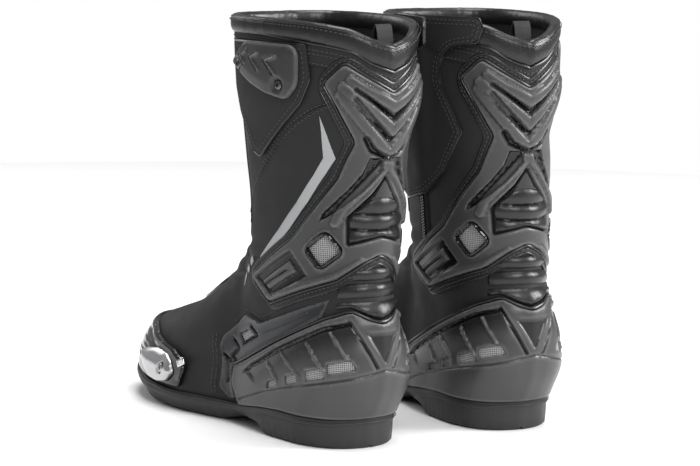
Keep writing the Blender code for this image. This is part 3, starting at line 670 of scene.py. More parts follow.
def tube(line: np.ndarray, radius: float, closed: bool = False, steps: int = 8) -> Shape:
    """A round cord through points of space.

    Args:
        line: n by 3, in millimetres.
        radius: The cord's radius.
        closed: Whether it joins up.
        steps: The number of its sides.

    Returns:
        The cord, with its ends closed.
    """
    along = np.roll(line, -1, 0) - np.roll(line, 1, 0) if closed else np.gradient(line, axis=0)
    along /= np.maximum(np.linalg.norm(along, axis=1, keepdims=True), 1e-9)
    middle = np.array([-5.0, 60.0, 0.0])
    outward = line - middle
    outward[:, 2] = 0
    outward -= along * np.sum(outward * along, axis=1, keepdims=True)
    outward /= np.maximum(np.linalg.norm(outward, axis=1, keepdims=True), 1e-9)
    across = np.cross(along, outward)
    points, uv = [], []
    length = np.concatenate([[0], np.cumsum(np.linalg.norm(np.diff(line, axis=0), axis=1))])
    for i in range(len(line)):
        for k in range(steps):
            a = 2 * math.pi * k / steps
            points.append(line[i] + radius * (outward[i] * math.cos(a) + across[i] * math.sin(a)))
            uv.append((length[i] * MM, k / steps * radius * 6.28 * MM))
    faces = []
    count = len(line)
    for i in range(count if closed else count - 1):
        for k in range(steps):
            a, b = i * steps + k, i * steps + (k + 1) % steps
            c, d = ((i + 1) % count) * steps + (k + 1) % steps, ((i + 1) % count) * steps + k
            faces.append((a, d, c, b))
    if not closed:
        faces.append(tuple(range(steps)))
        faces.append(tuple(reversed([len(points) - steps + k for k in range(steps)])))
    return Shape(np.array(points), faces, np.array(uv))


def cord_on(line: Sequence[Place], height: float, radius: float, closed: bool = False, front: bool = False,
            step: float = 2.0) -> Shape:
    """A cord that lies on the form along a line."""
    flat = stepped(line, step, closed)
    s = LAST.from_front(flat[:, 0], flat[:, 1]) if front else flat[:, 0]
    return tube(LAST.off(s, flat[:, 1], np.full(len(flat), height)), radius, closed)


def stitches(line: Sequence[Place], height: float | Callable[[np.ndarray], np.ndarray], closed: bool = False,
             front: bool = False, pitch: float = 3.6, length: float = 2.5, radius: float = 0.42) -> Shape:
    """A row of stitches on the form, each a small pointed bead of a few faces.

    Args:
        line: The seam, as (s, z) or (t, z).
        height: The stitches' height over the form.
        closed: Whether the seam joins up.
        front: Whether the line is measured from the front.
        pitch: The distance from stitch to stitch.
        length: The length of each.
        radius: Half its width.

    Returns:
        All the stitches.
    """
    flat = stepped(line, pitch, closed)
    s = LAST.from_front(flat[:, 0], flat[:, 1]) if front else flat[:, 0]
    level = height(flat) if callable(height) else np.full(len(flat), float(height))
    at = LAST.off(s, flat[:, 1], level)
    out = LAST.off(s, flat[:, 1], level + 1.0) - at
    along = np.roll(at, -1, 0) - np.roll(at, 1, 0) if closed else np.gradient(at, axis=0)
    along /= np.maximum(np.linalg.norm(along, axis=1, keepdims=True), 1e-9)
    across = np.cross(along, out)
    points, faces, uv = [], [], []
    for i in range(len(at)):
        start = len(points)
        ring = [(math.cos(a), math.sin(a)) for a in (0.785, 2.356, 3.927, 5.498)]
        points.append(at[i] - along[i] * length / 2 - out[i] * radius * 0.6)
        for end in (-0.28, 0.28):
            for c, d in ring:
                points.append(at[i] + along[i] * length * end + radius * (across[i] * c + out[i] * d))
        points.append(at[i] + along[i] * length / 2 - out[i] * radius * 0.6)
        uv += [(i * pitch * MM, 0.0)] * 10
        for k in range(4):
            a, b = start + 1 + k, start + 1 + (k + 1) % 4
            faces += [(start, b, a), (a, b, b + 4, a + 4), (start + 9, a + 4, b + 4)]
    return Shape(np.array(points), faces, np.array(uv))


def beads(places: np.ndarray, out: np.ndarray, along: np.ndarray, size: tuple[float, float, float]) -> Shape:
    """Small blocks with a chamfered top, such as a zip's teeth.

    Args:
        places: Their middles, n by 3.
        out: Directions away from the boot, n by 3.
        along: Directions of their length, n by 3.
        size: Length, width and height in millimetres.

    Returns:
        All the blocks.
    """
    across = np.cross(along, out)
    points, faces = [], []
    for p, o, a, c in zip(places, out, along, across):
        start = len(points)
        for level, shrink in ((0.0, 1.0), (0.6, 1.0), (1.0, 0.6)):
            for i, j in ((-1, -1), (1, -1), (1, 1), (-1, 1)):
                points.append(p + a * i * size[0] / 2 * shrink + c * j * size[1] / 2 * shrink + o * size[2] * level)
        faces.append((start, start + 1, start + 2, start + 3))
        faces.append((start + 11, start + 10, start + 9, start + 8))
        for ring in (0, 4):
            for k in range(4):
                a0, b0 = start + ring + k, start + ring + (k + 1) % 4
                faces.append((b0, a0, a0 + 4, b0 + 4))
    return Shape(np.array(points), faces, np.zeros((len(points), 2)))


def even_shares(columns: int) -> np.ndarray:
    """Shares round the form from -1 to 1, closest together at the heel and the toe."""
    v = np.linspace(-1, 1, columns, endpoint=False)
    return np.sign(v) * (0.64 * np.abs(v) + 0.18 * (1 - np.cos(np.pi * np.abs(v))))


def shell(low: np.ndarray, high: np.ndarray, rows: int, height: Height, thickness: float,
          u: np.ndarray) -> Shape:
    """A wall all round the form.

    Args:
        low: The lower edge's z for each share of u.
        high: The upper edge's z.
        rows: The number of faces up the wall.
        height: The outer face's height over the form at (s, z).
        thickness: The wall's thickness.
        u: Shares round the form.

    Returns:
        A closed shape with an outer and an inner face and two rims.
    """
    mix = np.linspace(0, 1, rows + 1)[:, None]
    z = low * (1 - mix) + high * mix
    s = u * LAST.reach_of(u, z)
    level = height(s, z)
    outer = LAST.off(s, z, level).reshape(-1, 3)
    inner = LAST.off(s, z, level - thickness).reshape(-1, 3)
    columns, total = len(u), outer.shape[0]
    faces = []
    for i in range(rows):
        for j in range(columns):
            k = (j + 1) % columns
            a, b = i * columns + j, i * columns + k
            faces.append((a, b, b + columns, a + columns))
            faces.append((total + a + columns, total + b + columns, total + b, total + a))
    for j in range(columns):
        k = (j + 1) % columns
        faces.append((k, j, total + j, total + k))
        a, b = rows * columns + j, rows * columns + k
        faces.append((a, b, total + b, total + a))
    uv = np.stack([s.reshape(-1), z.reshape(-1)], -1) * MM
    return Shape(np.vstack([outer, inner]), faces, np.vstack([uv, uv]))


def ring_line(u: np.ndarray, z: np.ndarray, height: float) -> np.ndarray:
    """Points of space all round the form, at shares u and heights z."""
    s = u * LAST.reach_of(u, z)
    return LAST.off(s, z, np.full(len(u), height))


def ripple(flat: np.ndarray, size: float) -> np.ndarray:
    """A repeatable uneven pattern between -1 and 1, for puckers and creases."""
    x, y = flat[:, 0] / size, flat[:, 1] / size
    return (np.sin(x * 2.1 + 1.3 * np.sin(y * 1.7)) + np.sin(y * 2.9 + 1.7 * np.sin(x * 1.1 + 0.6))
            + 0.6 * np.sin(x * 4.7 + y * 3.1)) / 2.6


# ---- Finishes ------------------------------------------------------------------------------------


class Grain(Enum):
    """What the surface of a finish looks like close up."""

    LEATHER = "pebbled leather"
    CREASED = "creased glossy leather"
    MOULDED = "fine moulded texture"
    POLISHED = "polished"
    WEAVE = "open square mesh"
    KNIT = "knitted cloth"
    BRUSHED = "brushed metal"


@dataclass(frozen=True)
class Finish:
    """A procedural material for one of the record's slots."""

    slot: str
    colour: tuple[float, float, float]
    roughness: float
    grain: Grain
    size: float  # of the grain, in millimetres
    depth: float  # of the grain, in millimetres
    metallic: float = 0.0
    specular: float = 0.5
    coat: float = 0.0
    sheen: float = 0.0
    mottle: float = 0.15
    mottle_size: float = 22.0
    # The colour of a painted highlight along sharp convex edges, if any.
    edge_highlight: tuple[float, float, float] | None = None
    grooves: bool = False  # painted shade in its grooves: darker there, and glossier

    def material(self) -> bpy.types.Material:
        """Builds the node tree.

        Returns:
            The material, named after its slot.
        """
        made = bpy.data.materials.new(self.slot + "_finish")
        made.use_nodes = True
        tree = made.node_tree
        shader = tree.nodes["Principled BSDF"]
        shader.inputs["Metallic"].default_value = self.metallic
        shader.inputs["Specular IOR Level"].default_value = self.specular
        shader.inputs["Coat Weight"].default_value = self.coat
        shader.inputs["Coat Roughness"].default_value = 0.12
        shader.inputs["Sheen Weight"].default_value = self.sheen
        shader.inputs["Sheen Roughness"].default_value = 0.45
        place = tree.nodes.new("ShaderNodeTexCoord")
        patches = self.noise(tree, place.outputs["Object"], self.mottle_size, 3.0)
        height = self.surface(tree, place)
        dark = tuple(c * (1 - self.mottle) for c in self.colour)
        light = tuple(c * (1 + self.mottle) for c in self.colour)
        colour = self.mixed(tree, patches, dark, light)
        if self.grain in (Grain.WEAVE, Grain.KNIT):
            gaps = tuple(c * (0.10 if self.grain is Grain.WEAVE else 0.35) for c in self.colour)
            colour = self.mixed(tree, self.ranged(tree, height, 0.30, 0.55, 0.0, 1.0), gaps, colour)
        # Painted highlight: sharp convex edges are lightened towards that colour.
        if self.edge_highlight:
            edge = tree.nodes.new("ShaderNodeNewGeometry").outputs["Pointiness"]
            colour = self.mixed(tree, self.ranged(tree, edge, 0.505, 0.56, 0.0, 0.7), colour, self.edge_highlight)
        rough = self.ranged(tree, patches, 0.3, 0.7, self.roughness * 0.88, min(1.0, self.roughness * 1.14))
        # Painted shade: the colour darkens in grooves, the deeper the darker; the grooves are glossier too.
        if self.grooves:
            deep = tree.nodes.new("ShaderNodeAttribute")
            deep.attribute_name = "groove_shade"
            colour = self.mixed(tree, deep.outputs["Fac"], colour, (0.004, 0.004, 0.004))
            less = self.ranged(tree, deep.outputs["Fac"], 0.0, 1.0, 1.0, 0.55)
            rough = self.maths(tree, "MULTIPLY", rough, less)
        tree.links.new(colour, shader.inputs["Base Color"])
        tree.links.new(rough, shader.inputs["Roughness"])
        bump = tree.nodes.new("ShaderNodeBump")
        bump.inputs["Distance"].default_value = self.depth * MM
        bump.inputs["Strength"].default_value = 1.0
        tree.links.new(height, bump.inputs["Height"])
        tree.links.new(bump.outputs["Normal"], shader.inputs["Normal"])
        return made

    def surface(self, tree: bpy.types.NodeTree, place: bpy.types.Node) -> bpy.types.NodeSocket:
        """The grain's height, from 0 to 1.

        Args:
            tree: The material's tree.
            place: Its Texture Coordinate node.

        Returns:
            The socket that carries the height.
        """
        spot = place.outputs["Object"]
        if self.grain in (Grain.WEAVE, Grain.KNIT):
            split = tree.nodes.new("ShaderNodeSeparateXYZ")
            tree.links.new(place.outputs["UV"], split.inputs[0])
            waves = []
            for axis in ("X", "Y"):
                turns = self.maths(tree, "MULTIPLY", split.outputs[axis], math.pi / (self.size * MM))
                wave = self.maths(tree, "SINE", turns, 0.0)
                waves.append(self.maths(tree, "ABSOLUTE", wave, 0.0))
            operation = "MINIMUM" if self.grain is Grain.WEAVE else "MULTIPLY"
            crossed = self.maths(tree, operation, waves[0], waves[1])
            if self.grain is Grain.WEAVE:
                return self.maths(tree, "SUBTRACT", 1.0, crossed)
            return crossed
        if self.grain is Grain.BRUSHED:
            lined = tree.nodes.new("ShaderNodeMapping")
            lined.inputs["Scale"].default_value = (1.0, 0.06, 1.0)
            tree.links.new(spot, lined.inputs["Vector"])
            return self.noise(tree, lined.outputs["Vector"], self.size, 3.0)
        fine = self.noise(tree, spot, self.size, 4.0 if self.grain is Grain.CREASED else 2.0)
        if self.grain in (Grain.MOULDED, Grain.POLISHED):
            return fine
        pebbles = tree.nodes.new("ShaderNodeTexVoronoi")
        pebbles.feature = "SMOOTH_F1"
        pebbles.inputs["Smoothness"].default_value = 0.6
        cell = self.size if self.grain is Grain.LEATHER else self.size * 0.3
        pebbles.inputs["Scale"].default_value = 1 / (cell * MM)
        tree.links.new(spot, pebbles.inputs["Vector"])
        share = 0.55 if self.grain is Grain.LEATHER else 0.22
        lowered = self.maths(tree, "MULTIPLY", pebbles.outputs["Distance"], -share)
        return self.maths(tree, "ADD", fine, lowered)

    @staticmethod
    def noise(tree: bpy.types.NodeTree, spot: bpy.types.NodeSocket, size: float,
              detail: float) -> bpy.types.NodeSocket:
        """Soft noise with features of a size in millimetres."""
        node = tree.nodes.new("ShaderNodeTexNoise")
        node.inputs["Scale"].default_value = 1 / (size * MM)
        node.inputs["Detail"].default_value = detail
        tree.links.new(spot, node.inputs["Vector"])
        return node.outputs["Fac"]

    @staticmethod
    def maths(tree: bpy.types.NodeTree, operation: str, first: bpy.types.NodeSocket | float,
              second: bpy.types.NodeSocket | float) -> bpy.types.NodeSocket:
        """One Math node on sockets or numbers."""
        node = tree.nodes.new("ShaderNodeMath")
        node.operation = operation
        for socket, value in zip(node.inputs, (first, second)):
            if isinstance(value, bpy.types.NodeSocket):
                tree.links.new(value, socket)
            else:
                socket.default_value = value
        return node.outputs[0]

    @staticmethod
    def ranged(tree: bpy.types.NodeTree, value: bpy.types.NodeSocket, low: float, high: float, to_low: float,
               to_high: float) -> bpy.types.NodeSocket:
        """Stretches a value from one range to another and holds it there."""
        node = tree.nodes.new("ShaderNodeMapRange")
        tree.links.new(value, node.inputs["Value"])
        for name, number in (("From Min", low), ("From Max", high), ("To Min", to_low), ("To Max", to_high)):
            node.inputs[name].default_value = number
        return node.outputs["Result"]

    @staticmethod
    def mixed(tree: bpy.types.NodeTree, share: bpy.types.NodeSocket, first: object,
              second: object) -> bpy.types.NodeSocket:
        """Mixes two colours, each a colour or a socket."""
        node = tree.nodes.new("ShaderNodeMix")
        node.data_type = "RGBA"
        tree.links.new(share, node.inputs["Factor"])
        for socket, value in ((node.inputs[6], first), (node.inputs[7], second)):
            if isinstance(value, bpy.types.NodeSocket):
                tree.links.new(value, socket)
            else:
                socket.default_value = (*value, 1.0)
        return node.outputs[2]


LEATHER = Finish("leather", (0.021, 0.021, 0.022), 0.60, Grain.LEATHER, 0.7, 0.10, specular=0.18)
DARK_LEATHER = Finish("leather", (0.010, 0.010, 0.0105), 0.46, Grain.LEATHER, 0.7, 0.08, specular=0.30)
THREAD = Finish("leather", (0.060, 0.060, 0.061), 0.50, Grain.MOULDED, 0.5, 0.03, specular=0.30)
GLOSSY_LEATHER = Finish("glossy_leather", (0.010, 0.010, 0.0105), 0.33, Grain.CREASED, 5.0, 0.22, specular=0.42,
                        mottle=0.10)
PIPING = Finish("glossy_leather", (0.009, 0.009, 0.0095), 0.24, Grain.LEATHER, 0.6, 0.05, specular=0.48)
MOULDED_GREY = Finish("moulded_grey", (0.042, 0.042, 0.043), 0.36, Grain.MOULDED, 0.6, 0.035, specular=0.40,
                      mottle=0.06, edge_highlight=(0.13, 0.13, 0.132), grooves=True)
GUARD_GREY = Finish("moulded_grey", (0.028, 0.028, 0.029), 0.38, Grain.MOULDED, 0.6, 0.035, specular=0.40,
                    mottle=0.06, edge_highlight=(0.11, 0.11, 0.112), grooves=True)
RUBBER = Finish("rubber", (0.026, 0.026, 0.027), 0.50, Grain.MOULDED, 1.1, 0.06, specular=0.30, mottle=0.10)
PANEL_RUBBER = Finish("rubber", (0.019, 0.020, 0.024), 0.36, Grain.MOULDED, 0.5, 0.02, specular=0.35, mottle=0.05,
                      edge_highlight=(0.07, 0.07, 0.073), grooves=True)
GLOSS_BLACK = Finish("gloss_black", (0.004, 0.004, 0.004), 0.13, Grain.POLISHED, 3.0, 0.01, specular=0.42,
                     coat=0.2, mottle=0.05)
MESH = Finish("mesh", (0.40, 0.40, 0.40), 0.60, Grain.WEAVE, 1.5, 0.25, specular=0.30, mottle=0.08)
TEXTILE = Finish("textile", (0.012, 0.012, 0.013), 0.92, Grain.KNIT, 1.6, 0.30, specular=0.15, sheen=0.10)
REFLECTIVE = Finish("reflective", (0.33, 0.34, 0.345), 0.38, Grain.MOULDED, 0.35, 0.02, specular=0.45, mottle=0.04)
SATIN_METAL = Finish("satin_metal", (0.50, 0.50, 0.51), 0.30, Grain.BRUSHED, 0.5, 0.02, metallic=1.0, mottle=0.04)
BRIGHT_METAL = Finish("satin_metal", (0.66, 0.66, 0.67), 0.12, Grain.POLISHED, 2.0, 0.01, metallic=1.0, mottle=0.03)
BLACK_STEEL = Finish("black_steel", (0.12, 0.12, 0.12), 0.26, Grain.POLISHED, 1.0, 0.01, metallic=1.0, mottle=0.08)
SHINY_STEEL = Finish("black_steel", (0.42, 0.42, 0.42), 0.22, Grain.POLISHED, 1.0, 0.01, metallic=1.0, mottle=0.08)
NYLON = Finish("nylon_board", (0.040, 0.040, 0.042), 0.55, Grain.MOULDED, 0.8, 0.05, mottle=0.08)


# ---- Placing pieces ------------------------------------------------------------------------------


@dataclass
class Workshop:
    """Makes the objects of both boots from shapes, and ties them to the frame's bodies."""

    frame: dict
    made: dict[str, bpy.types.Material] = field(default_factory=dict)
    count: int = 0

    def finish(self, finish: Finish) -> bpy.types.Material:
        """The material of a finish, built once."""
        key = repr(finish)
        if key not in self.made:
            self.made[key] = finish.material()
        return self.made[key]

    def place(self, name: str, shape: Shape, finish: Finish, body: Body, stands_for: Sequence[str] = (),
              pad: float | None = None, angle: float = 38.0) -> list[bpy.types.Object]:
        """Places a shape on both boots.

        Args:
            name: The piece's name without its boot's prefix.
            shape: Its mesh in the right boot's millimetres.
            finish: What it is made of.
            body: What it moves with.
            stands_for: The CAD nodes that it replaces, without the prefix.
            pad: How full it is, if it is padded; not used.
            angle: The sharpest turn between faces that is still shown smooth, in degrees.

        Returns:
            The left and the right object.
        """
        objects = []
        for side in Side:
            mesh = bpy.data.meshes.new(side.prefix + name)
            faces = shape.faces if side is Side.RIGHT else [tuple(reversed(f)) for f in shape.faces]
            mesh.from_pydata(LAST.world(shape.points, side).tolist(), [], faces)
            corners = np.empty(len(mesh.loops), np.int32)
            mesh.loops.foreach_get("vertex_index", corners)
            flat = shape.uv[corners, :2].astype(np.float32).ravel()
            mesh.uv_layers.new(name="wrap").data.foreach_set("uv", flat)
            # The share of painted groove shade, which finishes with grooves read.
            groove_shade = mesh.attributes.new("groove_shade", "FLOAT", "POINT")
            groove_shade.data.foreach_set("value", shape.uv[:, 2].astype(np.float32))
            mesh.materials.append(self.finish(finish))
            mesh.shade_smooth()
            mesh.set_sharp_from_angle(angle=math.radians(angle))
            piece = bpy.data.objects.new(side.prefix + name, mesh)
            bpy.context.scene.collection.objects.link(piece)
            if body is Body.ANKLE:
                start, end = (LAST.world(np.array([[0.0, 55.0, z]]), side)[0] for z in (90.0, 146.0))
                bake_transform(piece)
            else:
                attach(piece, side.prefix + body.value)
            if stands_for:
                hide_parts(*(side.prefix + node for node in stands_for))
            objects.append(piece)
        self.count += 2
        LOG.info("%s: %d points, %d faces, on %s", name, len(shape.points), len(shape.faces), body.value)
        return objects

    def dress(self, node: str, finish: Finish) -> None:
        """Gives a CAD node that stays visible its finish, on both boots."""
        for side in Side:
            piece = self.frame["nodes"][side.prefix + node]
            for held in piece.material_slots:
                held.material = self.finish(finish)
            LOG.info("%s keeps its CAD shape in %s", side.prefix + node, finish.slot)


def taken_from(obj: bpy.types.Object) -> Shape:
    """Takes a modelled object's mesh, in metres, as a shape in millimetres, and removes the object."""
    points = np.array([obj.matrix_world @ v.co for v in obj.data.vertices]) / MM
    faces = [tuple(f.vertices) for f in obj.data.polygons]
    bpy.data.objects.remove(obj, do_unlink=True)
    return Shape(points, faces, points[:, :2] * MM)


def set_on(shape: Shape, s: float, z: float, height: float, front: bool = False, turn: float = 0.0) -> Shape:
    """Stands a shape, modelled round the origin with +Z up, on the form at (s, z) or (t, z).

    Args:
        shape: The shape, in millimetres.
        s: The place round the boot.
        z: Its height.
        height: How far over the form the shape's origin lies.
        front: Whether s is measured from the front.
        turn: How far it is turned on its own axis, in degrees.

    Returns:
        The placed shape.
    """
    at = float(LAST.from_front(np.array([s]), np.array([z]))[0]) if front else s
    origin, tip, higher = (LAST.off(np.array([at]), np.array([z + dz]), np.array([height + dh]))[0]
                           for dz, dh in ((0, 0), (0, 4.0), (3.0, 0)))
    out = (tip - origin) / np.linalg.norm(tip - origin)
    up = higher - origin
    up -= out * float(up @ out)
    up /= np.linalg.norm(up)
    side = np.cross(up, out)
    c, d = math.cos(math.radians(turn)), math.sin(math.radians(turn))
    axes = np.stack([side * c + up * d, up * c - side * d, out])
    return Shape(origin + shape.points @ axes, shape.faces, shape.uv)


# ---- The small parts, modelled by hand -------------------------------------------------------------


def only(obj: bpy.types.Object, picked: Callable[[Vector, Vector], bool]) -> None:
    """Selects the faces of an object in edit mode by their centre and normal, in millimetres."""
    bpy.ops.object.mode_set(mode="OBJECT")
    for face in obj.data.polygons:
        face.select = picked(face.center / MM, face.normal)
    for vertex in obj.data.vertices:
        vertex.select = False
    for edge in obj.data.edges:
        edge.select = False
    bpy.ops.object.mode_set(mode="EDIT")
    bpy.ops.mesh.select_mode(type="FACE")


@dataclass
class Screw:
    """A countersunk screw with a hexagon socket."""

    radius: float = 3.6
    depth: float = 3.2

    def build(self) -> Shape:
        """Models it round the origin, with the rim of its head at z = 0."""
        bpy.ops.object.select_all(action="DESELECT")
        bpy.ops.mesh.primitive_cylinder_add(vertices=24, radius=self.radius * MM, depth=self.depth * MM,
                                            location=(0, 0, -self.depth / 2 * MM))
        head = bpy.context.object
        bpy.ops.object.transform_apply(location=True, rotation=True, scale=True)
        bpy.ops.object.mode_set(mode="EDIT")
        bpy.ops.mesh.select_all(action="DESELECT")
        only(head, lambda centre, normal: normal.z > 0.9)
        bpy.ops.mesh.inset(thickness=self.radius * 0.22 * MM)
        bpy.ops.transform.translate(value=(0, 0, 0.55 * MM))
        bpy.ops.mesh.inset(thickness=self.radius * 0.26 * MM)
        bpy.ops.transform.translate(value=(0, 0, 0.15 * MM))
        bpy.ops.mesh.inset(thickness=self.radius * 0.10 * MM)
        bpy.ops.mesh.extrude_region_move(TRANSFORM_OT_translate={"value": (0, 0, -1.3 * MM)})
        bpy.ops.object.mode_set(mode="OBJECT")
        return taken_from(head)


@dataclass
class Block:
    """A block with rounded edges, its top inset and sunk, as moulded pulls and sliders have."""

    width: float
    length: float
    height: float
    round: float = 0.5
    sunk: float = 0.3

    def build(self) -> Shape:
        """Models it with its base on z = 0."""
        bpy.ops.object.select_all(action="DESELECT")
        bpy.ops.mesh.primitive_cube_add(size=MM, location=(0, 0, self.height / 2 * MM))
        block = bpy.context.object
        block.scale = (self.width, self.length, self.height)
        bpy.ops.object.transform_apply(location=True, rotation=True, scale=True)
        bevel = block.modifiers.new("edges", "BEVEL")
        bevel.width = self.round * MM
        bevel.segments = 3
        bpy.ops.object.modifier_apply(modifier="edges")
        bpy.ops.object.mode_set(mode="EDIT")
        bpy.ops.mesh.select_all(action="DESELECT")
        only(block, lambda centre, normal: normal.z > 0.99 and centre.z > self.height * 0.9)
        bpy.ops.mesh.inset(thickness=min(self.width, self.length) * 0.14 * MM)
        bpy.ops.mesh.inset(thickness=0.25 * MM)
        bpy.ops.transform.translate(value=(0, 0, -self.sunk * MM))
        bpy.ops.object.mode_set(mode="OBJECT")
        return taken_from(block)


# ---- Outlines and lines, as (s, z) -------------------------------------------------------------------

FRAME_HALF = [(0, 263), (20, 275), (36, 284.6), (51, 270), (24, 228), (34, 199), (68, 153.5), (117, 120),
              (98, 103), (31, 126), (13, 139), (0, 145.5)]
FRAME_WINDOW = [(0, 204), (-9, 190), (-26, 172), (-24.5, 151), (0, 157.5), (24.5, 151), (26, 172), (9, 190)]
VENT_DIAMOND = [(54, 147), (40, 159), (28.5, 147), (43, 135)]
ARM_GAP = [(4, 217), (13, 217), (17, 205.5), (26, 193), (44, 174), (46, 168), (40, 171), (27.4, 180), (15, 192),
           (3, 208)]
LOUVRE = [(104, 117.5), (71, 137), (63, 128.5), (94, 111.5)]
COUNTER_TOP = [(0, 94.5), (10, 97), (22, 103), (46, 96), (103, 72.5), (163, 46), (158, 33), (145, 21)]
COUNTER_VENTS = [
    [(97, 40.0), (107.5, 36.5), (109.5, 42), (99, 46)],
    [(75, 47), (87.5, 43.5), (90, 49.5), (78, 53.5)],
    [(47, 55), (65.5, 50.0), (67.5, 57), (51, 61.5)],
    [(23, 62.5), (45.5, 57.3), (46.5, 64.5), (27, 69)],
]
COUNTER_SLANT = [(25, 96), (7, 63)]
COUNTER_SHADOW = [(26, 95.2), (47, 89.8), (103, 67), (137, 50.5), (144, 44.5)]
BELLOWS_HALF = [(0, 145), (13, 138.5), (31, 125), (35.5, 103), (22, 105), (10, 99.5), (0, 97)]
ANKLE_PANEL = [(36, 112.5), (89, 95.4), (122, 84.2), (145.4, 87.5), (177.7, 67), (182, 59), (175, 42), (168, 26),
               (153, 18.4), (146, 20), (158, 34), (164, 43.5), (147.2, 54.5), (93, 77), (48, 97)]
PANEL_CUTS = [
    [(136.2, 79.5), (127.5, 74.9), (150.7, 65.4)],
    [(166.0, 66.5), (158.8, 60), (167.8, 52.9), (162.8, 50.0)],
    [(176.6, 52.4), (168.1, 48.8)],
    [(171.0, 47.5), (162.6, 32.5)],
]
PANEL_WINDOW = [(142.5, 76), (133, 74.2), (152, 66.3), (157.5, 71)]
GUARD = [(127, 297), (76, 297), (71, 291), (71, 268), (80, 256.5), (101, 260), (120, 266), (147, 280)]
GUARD_SCREWS = [(137.0, 279.0), (88.0, 267.0)]
GUARD_STRAP = [(66, 298), (62, 272), (70, 254), (108, 211), (118, 215), (142, 244), (150, 262), (150, 296)]
CHEVRONS = [[(122.3, 290), (130.5, 286.5), (124.5, 281)], [(107, 289.5), (116.5, 286), (107, 277.5)],
            [(88.5, 288), (99.5, 284.5), (89.5, 275)]]
SHAFT_SEAMS = [
    [(44, 257), (60.7, 251.4), (74.9, 241.4), (88.8, 229), (98, 218.3), (109.7, 203.3), (121.8, 188), (136, 166)],
    [(46, 253.4), (59, 248), (72.6, 238.6), (86, 226.4), (95.2, 215.8), (106.8, 201), (119, 185.6), (133, 164)],
]
FOOT_SEAMS = [
    [(40, 115.5), (91, 99.2), (122.5, 88.2), (145, 91.5), (164, 80)],
    [(186, 66), (187, 52), (181, 38), (173, 22)],
    [(190, 64), (191, 51), (185, 37), (177, 21)],
]
STRIPE = [(54, 246), (36.9, 215), (44.3, 202.6), (57.8, 181.4), (74.5, 160), (101, 133.5), (111, 127), (110, 134.5),
          (87.1, 157.7), (68.2, 180.4), (53.7, 201.9), (46.6, 215)]
STRIPE_TICKS = [[(121, 129), (125, 125.5), (126.5, 130), (122.5, 133.5)],
                [(128, 122), (131.5, 119), (132.8, 122.8), (129.4, 126)],
                [(134.5, 116.5), (142, 108), (136, 119)]]
FLAP = [(-150, 299), (-118, 300), (-118, 315), (-37, 316), (-34.5, 309), (-38, 297), (-58, 293.5), (-71, 283),
        (-72, 266), (-57, 243), (-49.5, 229), (-66, 196), (-86, 178.5), (-116, 171), (-150, 180)]
TOE_CAP = [(137, 19.5), (138, 35), (127, 43), (112, 47.5), (90, 50), (52, 56), (0, 60), (-52, 56), (-88, 48),
           (-100, 36), (-100, 20), (-50, 18), (0, 18), (50, 18), (100, 19)]
TOE_BAND = [(134, 36.5), (125, 41.5), (110, 46), (90, 48.5), (66, 51.5), (67, 48.5), (90, 45.5), (107, 43),
            (121, 38), (129, 31), (131, 24), (136, 24)]
TOE_SLIDER = [(66, 36), (78, 41.5), (92, 44.5), (107, 43.5), (120, 38), (129, 30.5), (122, 22), (110, 19.5),
              (96, 20.5), (80, 26.5)]
TOE_SCREW = (113.0, 31.0)
SHIN_PLATE = [(-36, 276), (-30, 287), (30, 287), (36, 276), (34, 235), (26, 190), (14, 172), (-14, 172),
              (-26, 190), (-34, 235)]
VAMP_VENT = [(15 * math.cos(a), 95 + 15.5 * math.sin(a)) for a in np.linspace(0, 2 * math.pi, 28, endpoint=False)]
PIPING_LINE = smooth_through([(0, 278), (16, 284), (32, 293), (72, 299), (115, 302.5), (230, 303)])
COLLAR_MIDDLE = smooth_through([(0, 289), (16, 294), (35, 302), (72, 307), (110, 308), (230, 308)])
COLLAR_HALF = smooth_through([(0, 10), (35, 8.6), (72, 7.4), (230, 6.6)])
ZIP_AT = -96.0


# ---- The sub-assemblies --------------------------------------------------------------------------------


